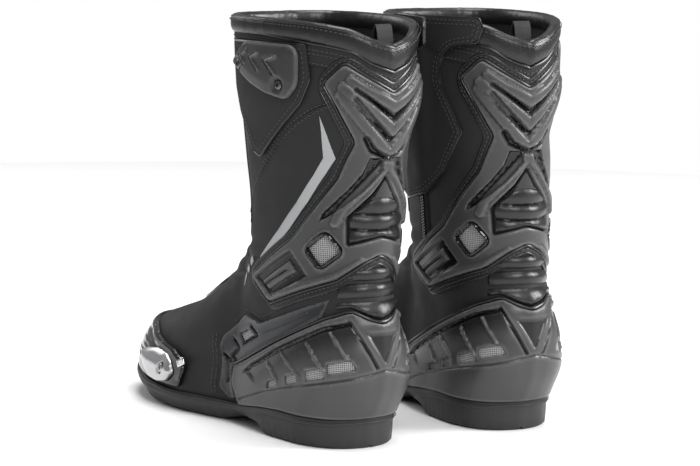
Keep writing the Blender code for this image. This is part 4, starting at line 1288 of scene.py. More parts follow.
@dataclass
class Sole:
    """The rubber sole: a rim all round, a heel block and bars of tread."""

    stations: int = 300
    tread: float = 2.0
    heel_pitch: float = 7.5
    bar_pitch: float = 10.5

    def plan(self, inset: float, level: float, stations: int) -> tuple[np.ndarray, np.ndarray, np.ndarray]:
        """The foot's outline, as its lateral and medial edges at stations along it."""
        rings = [{side: LAST.off(np.linspace(0, 1, 500) * LAST.reach(z, side) * side, np.full(500, z),
                                 np.full(500, -inset)) for side in (1, -1)} for z in (LAST.ball_stack, level)]
        rear = max(ring[1][0, 1] for ring in rings)
        toe = min(ring[1][-1, 1] for ring in rings)
        turn = np.linspace(0.045, np.pi - 0.045, stations)
        y = rear + (toe - rear) * (0.55 * (1 - np.cos(turn)) / 2 + 0.45 * (turn - turn[0]) / (turn[-1] - turn[0]))
        y = np.clip(y, rear + 0.25, toe - 0.25)
        edges = [side * np.minimum(*(side * np.interp(y, ring[side][:, 1], ring[side][:, 0]) for ring in rings))
                 for side in (1, -1)]
        return y, edges[0], edges[1]

    def lofted(self, y: np.ndarray, lateral: np.ndarray, medial: np.ndarray, section: Callable) -> Shape:
        """Joins cross-sections given as (inset, z) lists for one side, bottom middle first.

        Args:
            y: The stations.
            lateral: The lateral edge's x at each.
            medial: The medial edge's x at each.
            section: Gives the (inset, z) list at a station's index.

        Returns:
            The closed shape.
        """
        points, faces, count = [], [], 0
        for k, station in enumerate(y):
            middle = (lateral[k] + medial[k]) / 2
            half = (lateral[k] - medial[k]) / 2
            profile = section(k)
            right = [(middle + max(half - inset, half * share), z) for inset, z, share in profile]
            left = [(middle - max(half - inset, half * share), z) for inset, z, share in reversed(profile)]
            points += [(x, station, z) for x, z in right + left]
            count = len(right + left)
        for i in range(len(y) - 1):
            for j in range(count):
                a, b = i * count + j, i * count + (j + 1) % count
                faces.append((a, a + count, b + count, b))
        faces.append(tuple(range(count)))
        faces.append(tuple(reversed(range(len(points) - count, len(points)))))
        points = np.array(points)
        return Shape(points, faces, points[:, :2] * MM)

    def build(self, shop: Workshop) -> None:
        """Makes the sole, the board and the footbed."""
        y, lateral, medial = self.plan(-0.8, LAST.ball_stack, self.stations)

        def bottom(at: float) -> float:
            """The underside's height."""
            breast = 7.0 * float(smoothstep(at, 76, 92) * (1 - smoothstep(at, 108, 148)))
            return breast + float(LAST.toe_lift(at / LAST.length_scale, 0.0))

        def section(k: int) -> list[tuple[float, float, float]]:
            """One side of the cross-section at a station."""
            at = y[k]
            low, top = bottom(at), float(LAST.sole_top(at))
            heel = at < 84
            pitch = self.heel_pitch if heel else self.bar_pitch
            groove = (at % pitch) < pitch * 0.28
            deep = self.tread if groove and (at < 80 or at > 150) else 0.0
            taper = 1.0 + 3.5 * float(smoothstep(at, 84, 130))
            band = min(5.0, (top - low) * 0.36)
            edge = 0.5 if groove else 0.0
            return [(60.0, low + deep * 0.9, 0.30), (22.0, low + deep, 0.34), (11.0, low + deep, 0.5),
                    (2.6 + taper * 1.3 + edge, low + 0.2, 0.6), (1.2 + taper + edge, low + 1.3, 0.7),
                    (1.0 + taper * 0.5, low + (top - low) * 0.38, 0.8), (1.2, top - band - 0.9, 0.8),
                    (0.1, top - band, 0.85), (-0.3, top - band * 0.5, 0.9), (0.0, top - 0.8, 0.9),
                    (0.9, top, 0.85), (3.0, top - 0.1, 0.7), (30.0, top - 0.1, 0.2)]

        shape = self.lofted(y, lateral, medial, section)
        shop.place("outsole", shape, RUBBER, Body.FOOT, ["outsole"], angle=30)
        u = even_shares(260)
        z = LAST.settle(u, LAST.sole_top, -3.0, 60.0)
        welt = tube(ring_line(u, z + 0.5, -1.4), 0.95, closed=True)
        marks = tube(ring_line(u, z - 2.6, 0.9), 0.35, closed=True, steps=6)
        shop.place("welt", joined([welt, marks]), RUBBER, Body.FOOT)

        y, lateral, medial = self.plan(9.0, 22.0, 90)

        def bed(k: int) -> list[tuple[float, float, float]]:
            """One side of the footbed's cross-section."""
            top = float(LAST.sole_top(y[k])) + 8.0
            cup = 3.0 * (1 - float(smoothstep(y[k], 90, 150)))
            return [(40.0, top - 4.6, 0.2), (2.0, top - 4.6, 0.8), (0.4, top - 3.6, 0.9), (0.0, top - 1.0 + cup, 0.9),
                    (0.8, top + cup, 0.9), (3.0, top - 0.4 + cup * 0.6, 0.8), (9.0, top - 0.9, 0.6),
                    (40.0, top - 1.0, 0.2)]

        shop.place("footbed", self.lofted(y, lateral, medial, bed), TEXTILE, Body.FOOT, ["footbed"], pad=0.8)
        shop.dress("insole_board", NYLON)


@dataclass
class Upper:
    """The leather of foot and shaft in one, over the ankle, with its lining and seams."""

    columns: int = 230
    rows: int = 120
    wall: float = 2.0
    sunk: float = 3.3

    def depth(self, s: np.ndarray, z: np.ndarray) -> np.ndarray:
        """The leather's height over the form: low under the guards on the foot, creased over the instep."""
        heel = (1 - smoothstep(np.abs(s), 168, 196)) * (1 - smoothstep(z, 88, 112))
        near_sole = 1 - smoothstep(z, 44, 66)
        from_middle = LAST.reach_of(s, z) - np.abs(s)
        creases = sum(np.exp(-(((z - at - 0.10 * from_middle) / wide) ** 2))
                      for at, wide in ((101, 3.0), (113, 3.4), (126, 3.0), (139, 3.6)))
        creases = creases * (1 - smoothstep(from_middle, 45, 85))
        drape = 0.5 * ripple(np.stack([s, z], -1).reshape(-1, 2), 34.0).reshape(s.shape)
        soft = smoothstep(z, 110, 150) * (1 - smoothstep(z, 270, 292))
        return -self.sunk * np.maximum(heel, near_sole) - 1.5 * creases + drape * soft

    def build(self, shop: Workshop) -> None:
        """Makes the leather, the lining, the band under the collar and the seams."""
        u = even_shares(self.columns)
        around = np.abs(u) * LAST.reach(300, 1)
        low = LAST.settle(u, lambda y: LAST.sole_top(y) - 0.6, -3.0, 60.0)
        high = COLLAR_MIDDLE(around) - 3.0
        leather = shell(low, high, self.rows, self.depth, self.wall, u)
        shop.place("upper", leather, LEATHER, Body.ANKLE, ["foot_upper", "shaft_upper", "ankle_gusset"], angle=60)
        bed = LAST.settle(u, lambda y: LAST.sole_top(y) + 5.0, -3.0, 70.0)
        lining = shell(bed, COLLAR_MIDDLE(around) + 1.0, 60, lambda s, z: self.depth(s, z) - self.wall - 0.9, 0.8, u)
        shop.place("lining", lining, TEXTILE, Body.ANKLE, ["shaft_lining"], angle=60)

        edge = PIPING_LINE(around)
        band = shell(edge - 15.5, edge + 0.5, 6, lambda s, z: 0 * s + 1.0, 0.9, u)
        shop.place("collar_band", band, LEATHER, Body.SHAFT, angle=60)
        rows = [stitches([(float(a), float(b)) for a, b in zip(u * LAST.reach_of(u, edge), edge - drop)], 1.15)
                for drop in (4.0, 7.0, 13.6)]
        rear = [stitches([(side, 262.0), (side, 274.0)], 1.2) for side in (-1.6, 1.6)]
        shop.place("collar_band_stitches", joined(rows + rear), THREAD, Body.SHAFT)

        shaft = [stitches(softened(line, 6, closed=False), 0.3) for line in SHAFT_SEAMS]
        for t in (-48, -44, 44, 48):
            shaft.append(stitches([(t, 158), (t, 240), (t * 1.05, 284)], 0.3, front=True))
        shop.place("shaft_seams", joined(shaft), THREAD, Body.SHAFT)
        middle = [((a + c) / 2, (b + d) / 2) for (a, b), (c, d) in zip(*SHAFT_SEAMS)]
        laps = [cord_on(softened(middle, 6, closed=False), 0.1, 0.85)]
        laps += [cord_on([(t, 158), (t, 240), (t * 1.05, 284)], 0.1, 0.85, front=True) for t in (-46, 46)]
        shop.place("shaft_laps", joined(laps), DARK_LEATHER, Body.SHAFT)
        low_seams = [stitches(softened(line, 4, closed=False), lambda flat: self.depth(flat[:, 0], flat[:, 1]) + 0.3)
                     for line in FOOT_SEAMS]
        shop.place("foot_seams", joined(low_seams), THREAD, Body.FOOT)


@dataclass
class HeelGuard:
    """The moulded heel counter with its vents, mesh and piping."""

    seat: float = -2.2
    thickness: float = 3.2

    ribs: tuple[tuple[Place, Place], ...] = (((95, 65), (74, 53)), ((65, 77.5), (49, 60)), ((42, 87.5), (27, 66)),
                                             ((115, 56), (98, 45.5)))

    def relief(self, flat: np.ndarray) -> np.ndarray:
        """Facets, ribs and grooves of the counter, the same on both sides."""
        p = np.stack([np.abs(flat[:, 0]), flat[:, 1]], -1)
        upper = [(25, 96.5), (47, 92), (103, 69), (138, 51.5), (142, 44), (116, 34), (82, 45), (48, 53.5), (8, 63.5)]
        below = np.interp(p[:, 0], *zip(*COUNTER_SHADOW)) - p[:, 1]
        slant = np.where(within(p, upper), to_line(p, upper, closed=True), 0)
        found = -1.7 * smoothstep(slant, 0, 1.8) * (1 - smoothstep(below, 3, 24))
        found += ridge(p, COUNTER_SHADOW, 1.9, -2.0)
        found += ridge(p, COUNTER_SLANT, 1.8, -1.9)
        for top, foot in self.ribs:
            found += ridge(p, [top, foot], 1.5, 1.4)
        found += panel(p, [(-15, 89), (15, 89), (0.5, 65), (-0.5, 65)], -1.5, 1.6)
        found += ridge(p, [(0, 61), (48, 51.5), (84, 42), (114, 32), (140, 21)], 1.3, -0.9)
        return found

    def build(self, shop: Workshop) -> None:
        """Makes the counter and what lies on and behind it."""
        rim = [(float(s), float(LAST.settle(np.array([s / LAST.reach(20.0, 1)]), lambda y: LAST.sole_top(y) + 0.6,
                                            -3.0, 60.0)[0])) for s in (140, 112, 84, 56, 28, 0)]
        outline = both_sides(COUNTER_TOP[:-1] + rim)
        ledge = [(0, 61), (48, 51.5), (114, 32), (140, 21)]
        guides = on_both([(COUNTER_SHADOW, 1.8), (COUNTER_SLANT, 1.8), (ledge, 1.1)]
                         + [(rib, 1.3) for rib in self.ribs])
        holes = COUNTER_VENTS + [mirrored(v) for v in COUNTER_VENTS]
        plate = Plate(outline, self.seat, self.thickness, holes, self.relief, guides, cell=1.4, corner=3.0, edge=1.3)
        shop.place("heel_counter", plate.build(), MOULDED_GREY, Body.FOOT, ["heel_counter"], angle=34)
        meshes = []
        for vent in COUNTER_VENTS:
            for loop in (grown(vent, 2.0), mirrored(grown(vent, 2.0))):
                meshes.append(Plate(loop, self.seat - 0.3, 1.3, cell=2.4, corner=0, edge=0.2).build())
        shop.place("heel_vent_mesh", joined(meshes), MESH, Body.FOOT, ["heel_vent_mesh"])
        line = softened(vee(COUNTER_TOP[:6]), 4, closed=False)
        piping = cord_on([(s, z + 1.4) for s, z in line], 0.5, 1.0)
        shop.place("counter_piping", piping, PIPING, Body.FOOT)
        sewn = [stitches([(s, z - 2.6) for s, z in softened(line, 3, closed=False)], 1.2)
                for line in (mirrored(COUNTER_TOP[2:6]), COUNTER_TOP[2:6])]
        shop.place("counter_stitches", joined(sewn), THREAD, Body.FOOT)
        def carved(flat: np.ndarray) -> np.ndarray:
            """The panel's raised lip and the grooves that notch it."""
            found = 0.7 * (1 - smoothstep(to_line(flat, ANKLE_PANEL, closed=True), 1.2, 3.4))
            for line in PANEL_CUTS:
                found += ridge(flat, line, 2.0, -2.6)
            return found

        guides = [(line, 1.7) for line in PANEL_CUTS]
        panel_plate = Plate(ANKLE_PANEL, -3.6, 3.3, [PANEL_WINDOW], carved, guides, cell=1.7, corner=2.5, edge=1.0)
        shop.place("ankle_panel", panel_plate.build(), PANEL_RUBBER, Body.FOOT, ["ankle_panel"], angle=34)
        back = Plate(grown(PANEL_WINDOW, 1.2), -3.5, 1.4, cell=2.6, corner=0, edge=0.2)
        shop.place("ankle_panel_mesh", back.build(), MESH, Body.FOOT)
        sewn = stitches([(60, 99.5), (96, 85.4), (119, 77.4)], 0.45)
        shop.place("ankle_panel_stitches", sewn, THREAD, Body.FOOT)


@dataclass
class Bellows:
    """The padded rolls over the Achilles tendon, which on the real boot fold when the ankle flexes."""

    rolls: tuple[tuple[float, float], ...] = ((96.0, 112.5), (112.5, 125.0), (125.0, 136.5), (136.5, 144.5))

    @staticmethod
    def swell(p: np.ndarray, rolls: Sequence[tuple[float, float]], sag: float, height: float) -> np.ndarray:
        """The bulge of stuffed rolls, with puckers along their seams.

        Args:
            p: Flat places.
            rolls: Each roll's lower and upper seam.
            sag: How much a seam drops towards the sides.
            height: How far the middle of a roll stands over its seams.

        Returns:
            The bulge at each place.
        """
        found = np.zeros(len(p))
        z = p[:, 1] + sag * (p[:, 0] / 35.0) ** 2
        for low, high in rolls:
            f = np.clip((z - low) / (high - low), 0, 1)
            full = np.sqrt(np.clip(1 - (2 * f - 1) ** 2, 0, 1))
            pucker = 0.25 * np.sin(p[:, 0] * 0.9 + low) * (1 - full) * (f > 0) * (f < 1)
            found = np.maximum(found, height * full * (f > 0) * (f < 1) + pucker)
        return found + 0.22 * ripple(p, 11.0)

    def build(self, shop: Workshop) -> None:
        """Makes the rolls and the seams at their sides."""
        guides = [([(-34, z), (0, z), (34, z)], 1.6) for _, z in self.rolls[:-1]]
        plate = Plate(both_sides(BELLOWS_HALF), -4.0, 2.6, [],
                      lambda p: self.swell(p, self.rolls, 2.0, 5.4) - 1.6, guides, cell=1.6, corner=3.0, edge=3.0,
                      edge_share=0.25)
        shop.place("achilles_bellows", plate.build(), GLOSSY_LEATHER, Body.ANKLE, ["achilles_bellows"], pad=0.9,
                   angle=70)
        sewn = []
        for side in (1, -1):
            for gap in (3.6, 6.4):
                line = [(side * (31 + gap), 128), (side * (34.5 + gap), 112)]
                sewn.append(stitches(line, -0.4))
        shop.place("bellows_stitches", joined(sewn), THREAD, Body.ANKLE)


@dataclass
class CalfFrame:
    """The X-shaped frame up the back of the shaft, with its vents, padded rolls and leather border."""

    seat: float = 0.7
    thickness: float = 3.4
    bars: tuple[tuple[Loop, float, float], ...] = (
        ([(0, 254.5), (5, 257.5), (20, 265.5), (31, 273)], 4.3, 2.2),
        ([(0, 237), (4, 241), (23, 258), (36, 267.5)], 4.8, 2.8),
        ([(0, 220.5), (3, 222.5), (19, 240), (35, 259), (38, 263)], 4.0, 2.6),
        ([(0, 212.5), (8, 203), (20, 188.5), (29, 178), (33, 168)], 4.1, 2.8),
        ([(29, 226), (39, 199), (72, 154)], 3.6, 1.2),
        ([(13, 140.5), (32, 128.5), (96, 106)], 2.6, 0.8),
    )
    channels: tuple[tuple[Loop, float, float], ...] = (
        ([(0, 246), (16, 258.5), (27, 266.5)], 2.2, -2.9),
        ([(0, 229.5), (27, 260)], 2.4, -2.9),
        ([(0, 216.5), (12, 222.5), (17, 231)], 3.0, -2.9),
    )

    def relief(self, flat: np.ndarray) -> np.ndarray:
        """Bars and channels, the same on both sides."""
        p = np.stack([np.abs(flat[:, 0]), flat[:, 1]], -1)
        found = np.zeros(len(p))
        for line, half, height in self.bars:
            found = np.maximum(found, ridge(p, line, half, height))
        for line, half, depth in self.channels:
            found += ridge(p, line, half, depth)
        found += panel(p, [(113, 119.5), (70, 145), (53, 126.5), (92.5, 106.5)], -2.1, 1.5)
        found += panel(p, ARM_GAP, -2.9, 1.4)
        found += panel(p, LOUVRE, 2.0, 1.6)
        found += ridge(p, [(101, 114.5), (73, 129.5)], 1.0, -1.6)
        found += ridge(p, softened(VENT_DIAMOND + VENT_DIAMOND[:1], 2), 5.0, 0.5)
        return found

    def build(self, shop: Workshop) -> None:
        """Makes the frame and everything in and round it."""
        outline = both_sides(FRAME_HALF)
        diamond = grown(VENT_DIAMOND, 2.6)
        holes = [FRAME_WINDOW, diamond, mirrored(diamond)]
        guides = on_both([(line, half * 0.8) for line, half, _ in self.bars + self.channels]
                         + [(loop + loop[:1], 0.8) for loop in (LOUVRE, ARM_GAP)])
        plate = Plate(outline, self.seat, self.thickness, holes, self.relief, guides, cell=1.25, corner=4.0, edge=1.3)
        shop.place("calf_frame", plate.build(), MOULDED_GREY, Body.SHAFT, ["calf_frame"], angle=34)

        bezels, meshes = [], []
        for side in (1, -1):
            def at(loop: Loop) -> Loop:
                """The loop on this side."""
                return loop if side > 0 else mirrored(loop)
            bezels.append(Plate(at(grown(VENT_DIAMOND, 2.8)), self.seat, 5.0, [at(VENT_DIAMOND)], cell=1.5,
                                corner=1.0, edge=1.2).build())
            meshes.append(Plate(at(grown(VENT_DIAMOND, 1.0)), 0.5, 1.4, cell=2.2, corner=0, edge=0.3).build())
        wedge = Plate([(0, 203), (-8, 190), (-17, 180), (0, 184), (17, 180), (8, 190)], 0.4, 2.2, cell=1.6,
                      corner=1.0, edge=1.0)
        bezels.append(wedge.build())
        shop.place("calf_vent_bezels", joined(bezels), GLOSS_BLACK, Body.SHAFT, angle=34)
        shop.place("calf_vent_mesh", joined(meshes), MESH, Body.SHAFT, ["calf_vent_mesh"])

        rolls = ((148.0, 163.0), (163.0, 174.5), (174.5, 188.0))
        window = [(0, 190), (-10, 187), (-25, 173), (-24, 152), (0, 158), (24, 152), (25, 173), (10, 187)]
        pad = Plate(window, -0.4, 2.4, [], lambda p: Bellows.swell(p, rolls, -2.0, 3.4) - 0.8,
                    [([(-25, z), (0, z), (25, z)], 1.2) for z in (163, 174.5)], cell=1.5, corner=2.0, edge=2.4,
                    edge_share=0.2)
        shop.place("calf_rolls", pad.build(), GLOSSY_LEATHER, Body.SHAFT, ["calf_rolls"], pad=0.9, angle=70)

        border = Plate(grown(outline, 6.2), 0.25, 1.5, [grown(outline, -2.0)], None, [], cell=2.0, corner=0, edge=0.9)
        shop.place("calf_frame_border", border.build(), DARK_LEATHER, Body.SHAFT)
        cords = [cord_on(grown(outline, out), height, radius, closed=True)
                 for out, height, radius in ((1.3, 1.9, 0.95), (6.0, 0.9, 0.85))]
        shop.place("calf_frame_piping", joined(cords), PIPING, Body.SHAFT)
        shop.place("calf_frame_stitches", stitches(grown(outline, 3.7), 1.95, closed=True), THREAD, Body.SHAFT)


@dataclass
class SideGuard:
    """The guard screwed to a leather tab near the top, and the stripe below it."""

    seat: float = 4.0
    thickness: float = 2.8

    def relief(self, flat: np.ndarray) -> np.ndarray:
        """The guard's crown and its three chevrons."""
        found = 1.2 * smoothstep(to_line(flat, GUARD, closed=True), 0, 9)
        for line in CHEVRONS:
            found += ridge(flat, line, 1.2, 1.1)
            found += ridge(flat, [(s + 2.2, z) for s, z in line], 1.2, -1.0)
        for place in GUARD_SCREWS:
            d = np.hypot(flat[:, 0] - place[0], flat[:, 1] - place[1])
            found -= 1.6 * (1 - smoothstep(d, 4.4, 7.0))
        return found

    def build(self, shop: Workshop) -> None:
        """Makes the tab, the guard, its screws and the stripe."""
        strap = Plate(GUARD_STRAP, 0.9, 2.2, cell=2.4, corner=5, edge=1.2)
        shop.place("guard_strap", strap.build(), LEATHER, Body.SHAFT, ["guard_strap"])
        edge = cord_on(grown(GUARD_STRAP, -0.3), 2.2, 1.0, closed=True)
        shop.place("guard_strap_edge", edge, PIPING, Body.SHAFT)
        sewn = stitches(grown(GUARD_STRAP, -4.0), 3.2, closed=True)
        shop.place("guard_strap_stitches", sewn, THREAD, Body.SHAFT)
        guides = [(line, 1.1) for line in CHEVRONS] + [([(s + 2.2, z) for s, z in line], 1.0) for line in CHEVRONS]
        holes = [circle(place, 4.0) for place in GUARD_SCREWS]
        guides += [(circle(place, r) + circle(place, r)[:1], 0.0) for place in GUARD_SCREWS for r in (5.0, 6.2, 7.2)]
        plate = Plate(GUARD, self.seat, self.thickness, holes, self.relief, guides, cell=1.6, corner=5.0, edge=1.6)
        shop.place("guard_plate", plate.build(), GUARD_GREY, Body.SHAFT, ["guard_plate"], angle=34)
        for name, place in zip(("guard_screw_front", "guard_screw_rear"), GUARD_SCREWS):
            screw = set_on(Screw().build(), *place, self.seat + self.thickness - 0.9)
            shop.place(name, screw, BLACK_STEEL, Body.SHAFT, [name])
        marks = [Plate(loop, 0.2, 0.55, cell=2.4, corner=0.0, edge=0.3).build() for loop in [STRIPE, *STRIPE_TICKS]]
        shop.place("side_stripe", joined(marks), REFLECTIVE, Body.SHAFT, ["side_stripe"])


@dataclass
class ToeArmour:
    """The toe box cover, the metal slider, its clip and screw, and the intake on the vamp."""

    seat: float = -2.0
    thickness: float = 3.0

    @staticmethod
    def ribs(flat: np.ndarray) -> np.ndarray:
        """The cover's ribs behind the slider, and its raised upper edge."""
        t, z = flat[:, 0], flat[:, 1]
        found = ridge(flat, [(136, 36), (126, 40.5), (111, 45), (89, 47.5), (52, 53.5), (0, 57), (-52, 53.5),
                             (-86, 46)], 2.6, 1.3)
        fade = smoothstep(t, 10, 30) * (1 - smoothstep(t, 66, 76))
        wave = np.cos((z - 28) * 2 * math.pi / 4.6)
        return found + 0.45 * np.clip(wave, -0.4, 1) * fade * (1 - smoothstep(z, 44, 48)) * smoothstep(z, 24, 28)

    def build(self, shop: Workshop) -> None:
        """Makes the toe's pieces."""
        cover = Plate(TOE_CAP, self.seat, self.thickness, [circle(TOE_SCREW, 4.6)], self.ribs,
                      [([(t, z - 3.2) for t, z in TOE_CAP[1:9]], 2.0)], cell=1.9, corner=3.0, edge=1.2, front=True)
        shop.place("toe_cap", cover.build(), GLOSS_BLACK, Body.FOOT, ["toe_cap"], angle=34)
        band = Plate(TOE_BAND, 1.0, 1.5, cell=1.8, corner=1.2, edge=0.8, front=True)
        shop.place("toe_band", band.build(), MOULDED_GREY, Body.FOOT, angle=34)

        def facet(flat: np.ndarray) -> np.ndarray:
            """The slider's crown, with a crease along its middle."""
            crown = 1.3 * smoothstep(to_line(flat, TOE_SLIDER, closed=True), 0, 4.5)
            middle = to_line(flat, [(72, 33.5), (97, 33), (127, 30.5)])
            return crown + 0.9 * (1 - smoothstep(middle, 0, 7.0))

        slider = Plate(TOE_SLIDER, 1.6, 2.6, [circle(TOE_SCREW, 4.0)], facet,
                       [([(72, 33.5), (97, 33), (127, 30.5)], 2.0)], cell=1.5, corner=2.5, edge=1.3, front=True)
        shop.place("toe_slider", slider.build(), SATIN_METAL, Body.FOOT, ["toe_slider"], angle=30)
        screw = set_on(Screw().build(), *TOE_SCREW, 5.0, front=True)
        shop.place("toe_slider_screw", screw, SHINY_STEEL, Body.FOOT, ["toe_slider_screw"])
        clip = set_on(Block(6.0, 9.0, 2.2, 0.7).build(), 131.5, 39.5, 0.9, front=True, turn=35)
        shop.place("toe_clip", clip, BRIGHT_METAL, Body.FOOT)
        ring = Plate(VAMP_VENT, 0.1, 2.6, [grown(VAMP_VENT, -5.0)], cell=1.6, corner=0, edge=1.6, front=True)
        shop.place("vamp_vent", ring.build(), GLOSS_BLACK, Body.ANKLE, ["vamp_vent"], angle=50)
        net = Plate(grown(VAMP_VENT, -4.0), 0.1, 1.0, cell=2.0, corner=0, edge=0.3, front=True)
        shop.place("vamp_vent_mesh", net.build(), MESH, Body.ANKLE)


@dataclass
class Shin:
    """The plate on the front of the shaft."""

    rib_heights: tuple[float, ...] = (196, 212, 228, 244, 260, 274)

    def build(self, shop: Workshop) -> None:
        """Makes the plate, ribbed across, and its sewn edge."""
        chevrons = [[(-24, z + 7), (0, z), (24, z + 7)] for z in self.rib_heights]

        def ribs(flat: np.ndarray) -> np.ndarray:
            """Ribs that point downwards across the plate."""
            raised = panel(flat, grown(SHIN_PLATE, -5.0), 0.8, 2.0)
            return raised + sum(ridge(flat, line, 2.6, -1.5) for line in chevrons)

        plate = Plate(SHIN_PLATE, 0.7, 2.4, [], ribs, [(line, 2.2) for line in chevrons], cell=2.0, corner=5.0,
                      edge=1.6, front=True)
        shop.place("shin_plate", plate.build(), GLOSS_BLACK, Body.SHAFT, ["shin_plate"], angle=40)
        sewn = stitches(grown(SHIN_PLATE, 3.0), 0.5, closed=True, front=True)
        shop.place("shin_plate_stitches", sewn, THREAD, Body.SHAFT)


@dataclass
class Closure:
    """The zip on the inner side and the flap over it."""

    tape_width: float = 14.0
    tooth_pitch: float = 2.2

    @staticmethod
    def flap_height(s: np.ndarray, z: np.ndarray) -> np.ndarray:
        """The flap's inner face: over the zip, over the collar, and close to the leather elsewhere."""
        over_zip = 5.0 * np.exp(-(((s + 98) / 17.0) ** 4))
        over_collar = 4.4 * smoothstep(z, 284, 297)
        return 1.0 + np.maximum(over_zip, over_collar) + 0.35 * ripple(np.stack([s, z], -1), 26.0)

    def build(self, shop: Workshop) -> None:
        """Makes the zip and the flap."""
        half = self.tape_width / 2
        strip = [(ZIP_AT - half, 140), (ZIP_AT + half, 140), (ZIP_AT + half, 288), (ZIP_AT - half, 288)]
        tape = Plate(strip, 0.5, 0.8, cell=2.6, corner=0.5, edge=0.3)
        shop.place("zip_tape", tape.build(), TEXTILE, Body.SHAFT, ["zip_tape"])
        z = np.arange(142.0, 286.0, self.tooth_pitch)
        teeth = []
        for row, shift in ((-1.2, 0.0), (1.2, self.tooth_pitch / 2)):
            s, level = np.full(len(z), ZIP_AT + row), np.full(len(z), 1.35)
            at = LAST.off(s, z + shift, level)
            out = LAST.off(s, z + shift, level + 1) - at
            across = LAST.off(s + 1, z + shift, level) - at
            across /= np.linalg.norm(across, axis=1, keepdims=True)
            teeth.append(beads(at - out * 0.1, out, across, (3.0, 1.3, 1.2)))
        shop.place("zip_teeth", joined(teeth), BLACK_STEEL, Body.SHAFT)
        slider = set_on(Block(8.0, 10.0, 2.2, 0.8).build(), ZIP_AT, 280.0, 2.4)
        shop.place("zip_slider", slider, BLACK_STEEL, Body.ZIP_SLIDER, ["zip_slider"])
        puller = set_on(Block(5.0, 20.0, 1.2, 0.45, 0.2).build(), ZIP_AT, 263.6, 2.9)
        shop.place("zip_puller", puller, RUBBER, Body.ZIP_PULLER, ["zip_puller"])

        flap = Plate(FLAP, self.flap_height, 1.9, cell=2.6, corner=7.0, edge=0.9)
        shop.place("closure_flap", flap.build(), LEATHER, Body.FLAP, ["closure_flap"], angle=50)

        def on_flap(flat: np.ndarray) -> np.ndarray:
            """The flap's outer face."""
            return self.flap_height(flat[:, 0], flat[:, 1]) + 1.95

        rows = [stitches(grown(FLAP, -inset), on_flap, closed=True) for inset in (2.6, 5.4)]
        rows += [stitches([(-112 + k, 313), (-112 + k, 300)], on_flap) for k in (0, 3)]
        shop.place("flap_stitches", joined(rows), THREAD, Body.FLAP)
        edge = grown(FLAP, -0.2)
        flat = stepped(edge, 2.2, closed=True)
        points = LAST.off(flat[:, 0], flat[:, 1], on_flap(flat) - 0.9)
        shop.place("flap_edge", tube(points, 0.75, closed=True), PIPING, Body.FLAP)


@dataclass
class Collar:
    """The padded roll round the mouth, its piping and the pull loop."""

    columns: int = 260
    steps: int = 22
    half_thickness: float = 4.1

    def build(self, shop: Workshop) -> None:
        """Makes the collar's pieces."""
        u = even_shares(self.columns)
        around = np.abs(u) * LAST.reach(300, 1)
        middle, half = COLLAR_MIDDLE(around), COLLAR_HALF(around)
        rings, uv = [], []
        for k in range(self.steps):
            a = 2 * math.pi * k / self.steps
            square = (abs(math.cos(a)) ** 2.4 + abs(math.sin(a)) ** 2.4) ** (-1 / 2.4)
            places = np.stack([u * 300, np.full(len(u), k * 3.0)], -1)
            crease = 0.14 * ripple(places, 7.0) + 0.30 * np.maximum(0, np.sin(u * 71 + 2 * np.sin(u * 23))) ** 6
            z = middle + (half + crease * 0.5) * math.sin(a) * square
            out = -0.8 + (self.half_thickness + crease) * math.cos(a) * square
            rings.append(LAST.off(u * LAST.reach_of(u, z), z, out))
            uv.append(np.stack([u * 0.3, np.full(len(u), k * 0.002)], -1))
        points = np.stack(rings, 1).reshape(-1, 3)
        faces = []
        for i in range(self.columns):
            j = (i + 1) % self.columns
            for k in range(self.steps):
                m = (k + 1) % self.steps
                faces.append((i * self.steps + k, j * self.steps + k, j * self.steps + m, i * self.steps + m))
        roll = Shape(points, faces, np.stack(uv, 1).reshape(-1, 2))
        shop.place("collar", roll, GLOSSY_LEATHER, Body.SHAFT, ["collar"], pad=0.9, angle=80)
        lower = tube(ring_line(u, PIPING_LINE(around) + 0.6, 1.6), 1.0, closed=True)
        top = tube(ring_line(u, middle + half * 0.72, 2.3), 0.8, closed=True)
        shop.place("collar_piping", joined([lower, top]), PIPING, Body.SHAFT)
        edge = middle + half * 0.45
        line = [(float(a), float(b)) for a, b in zip(u * LAST.reach_of(u, edge), edge)]
        shop.place("collar_stitches", stitches(line, 4.0), THREAD, Body.SHAFT)
        shop.dress("pull_loop", LEATHER)


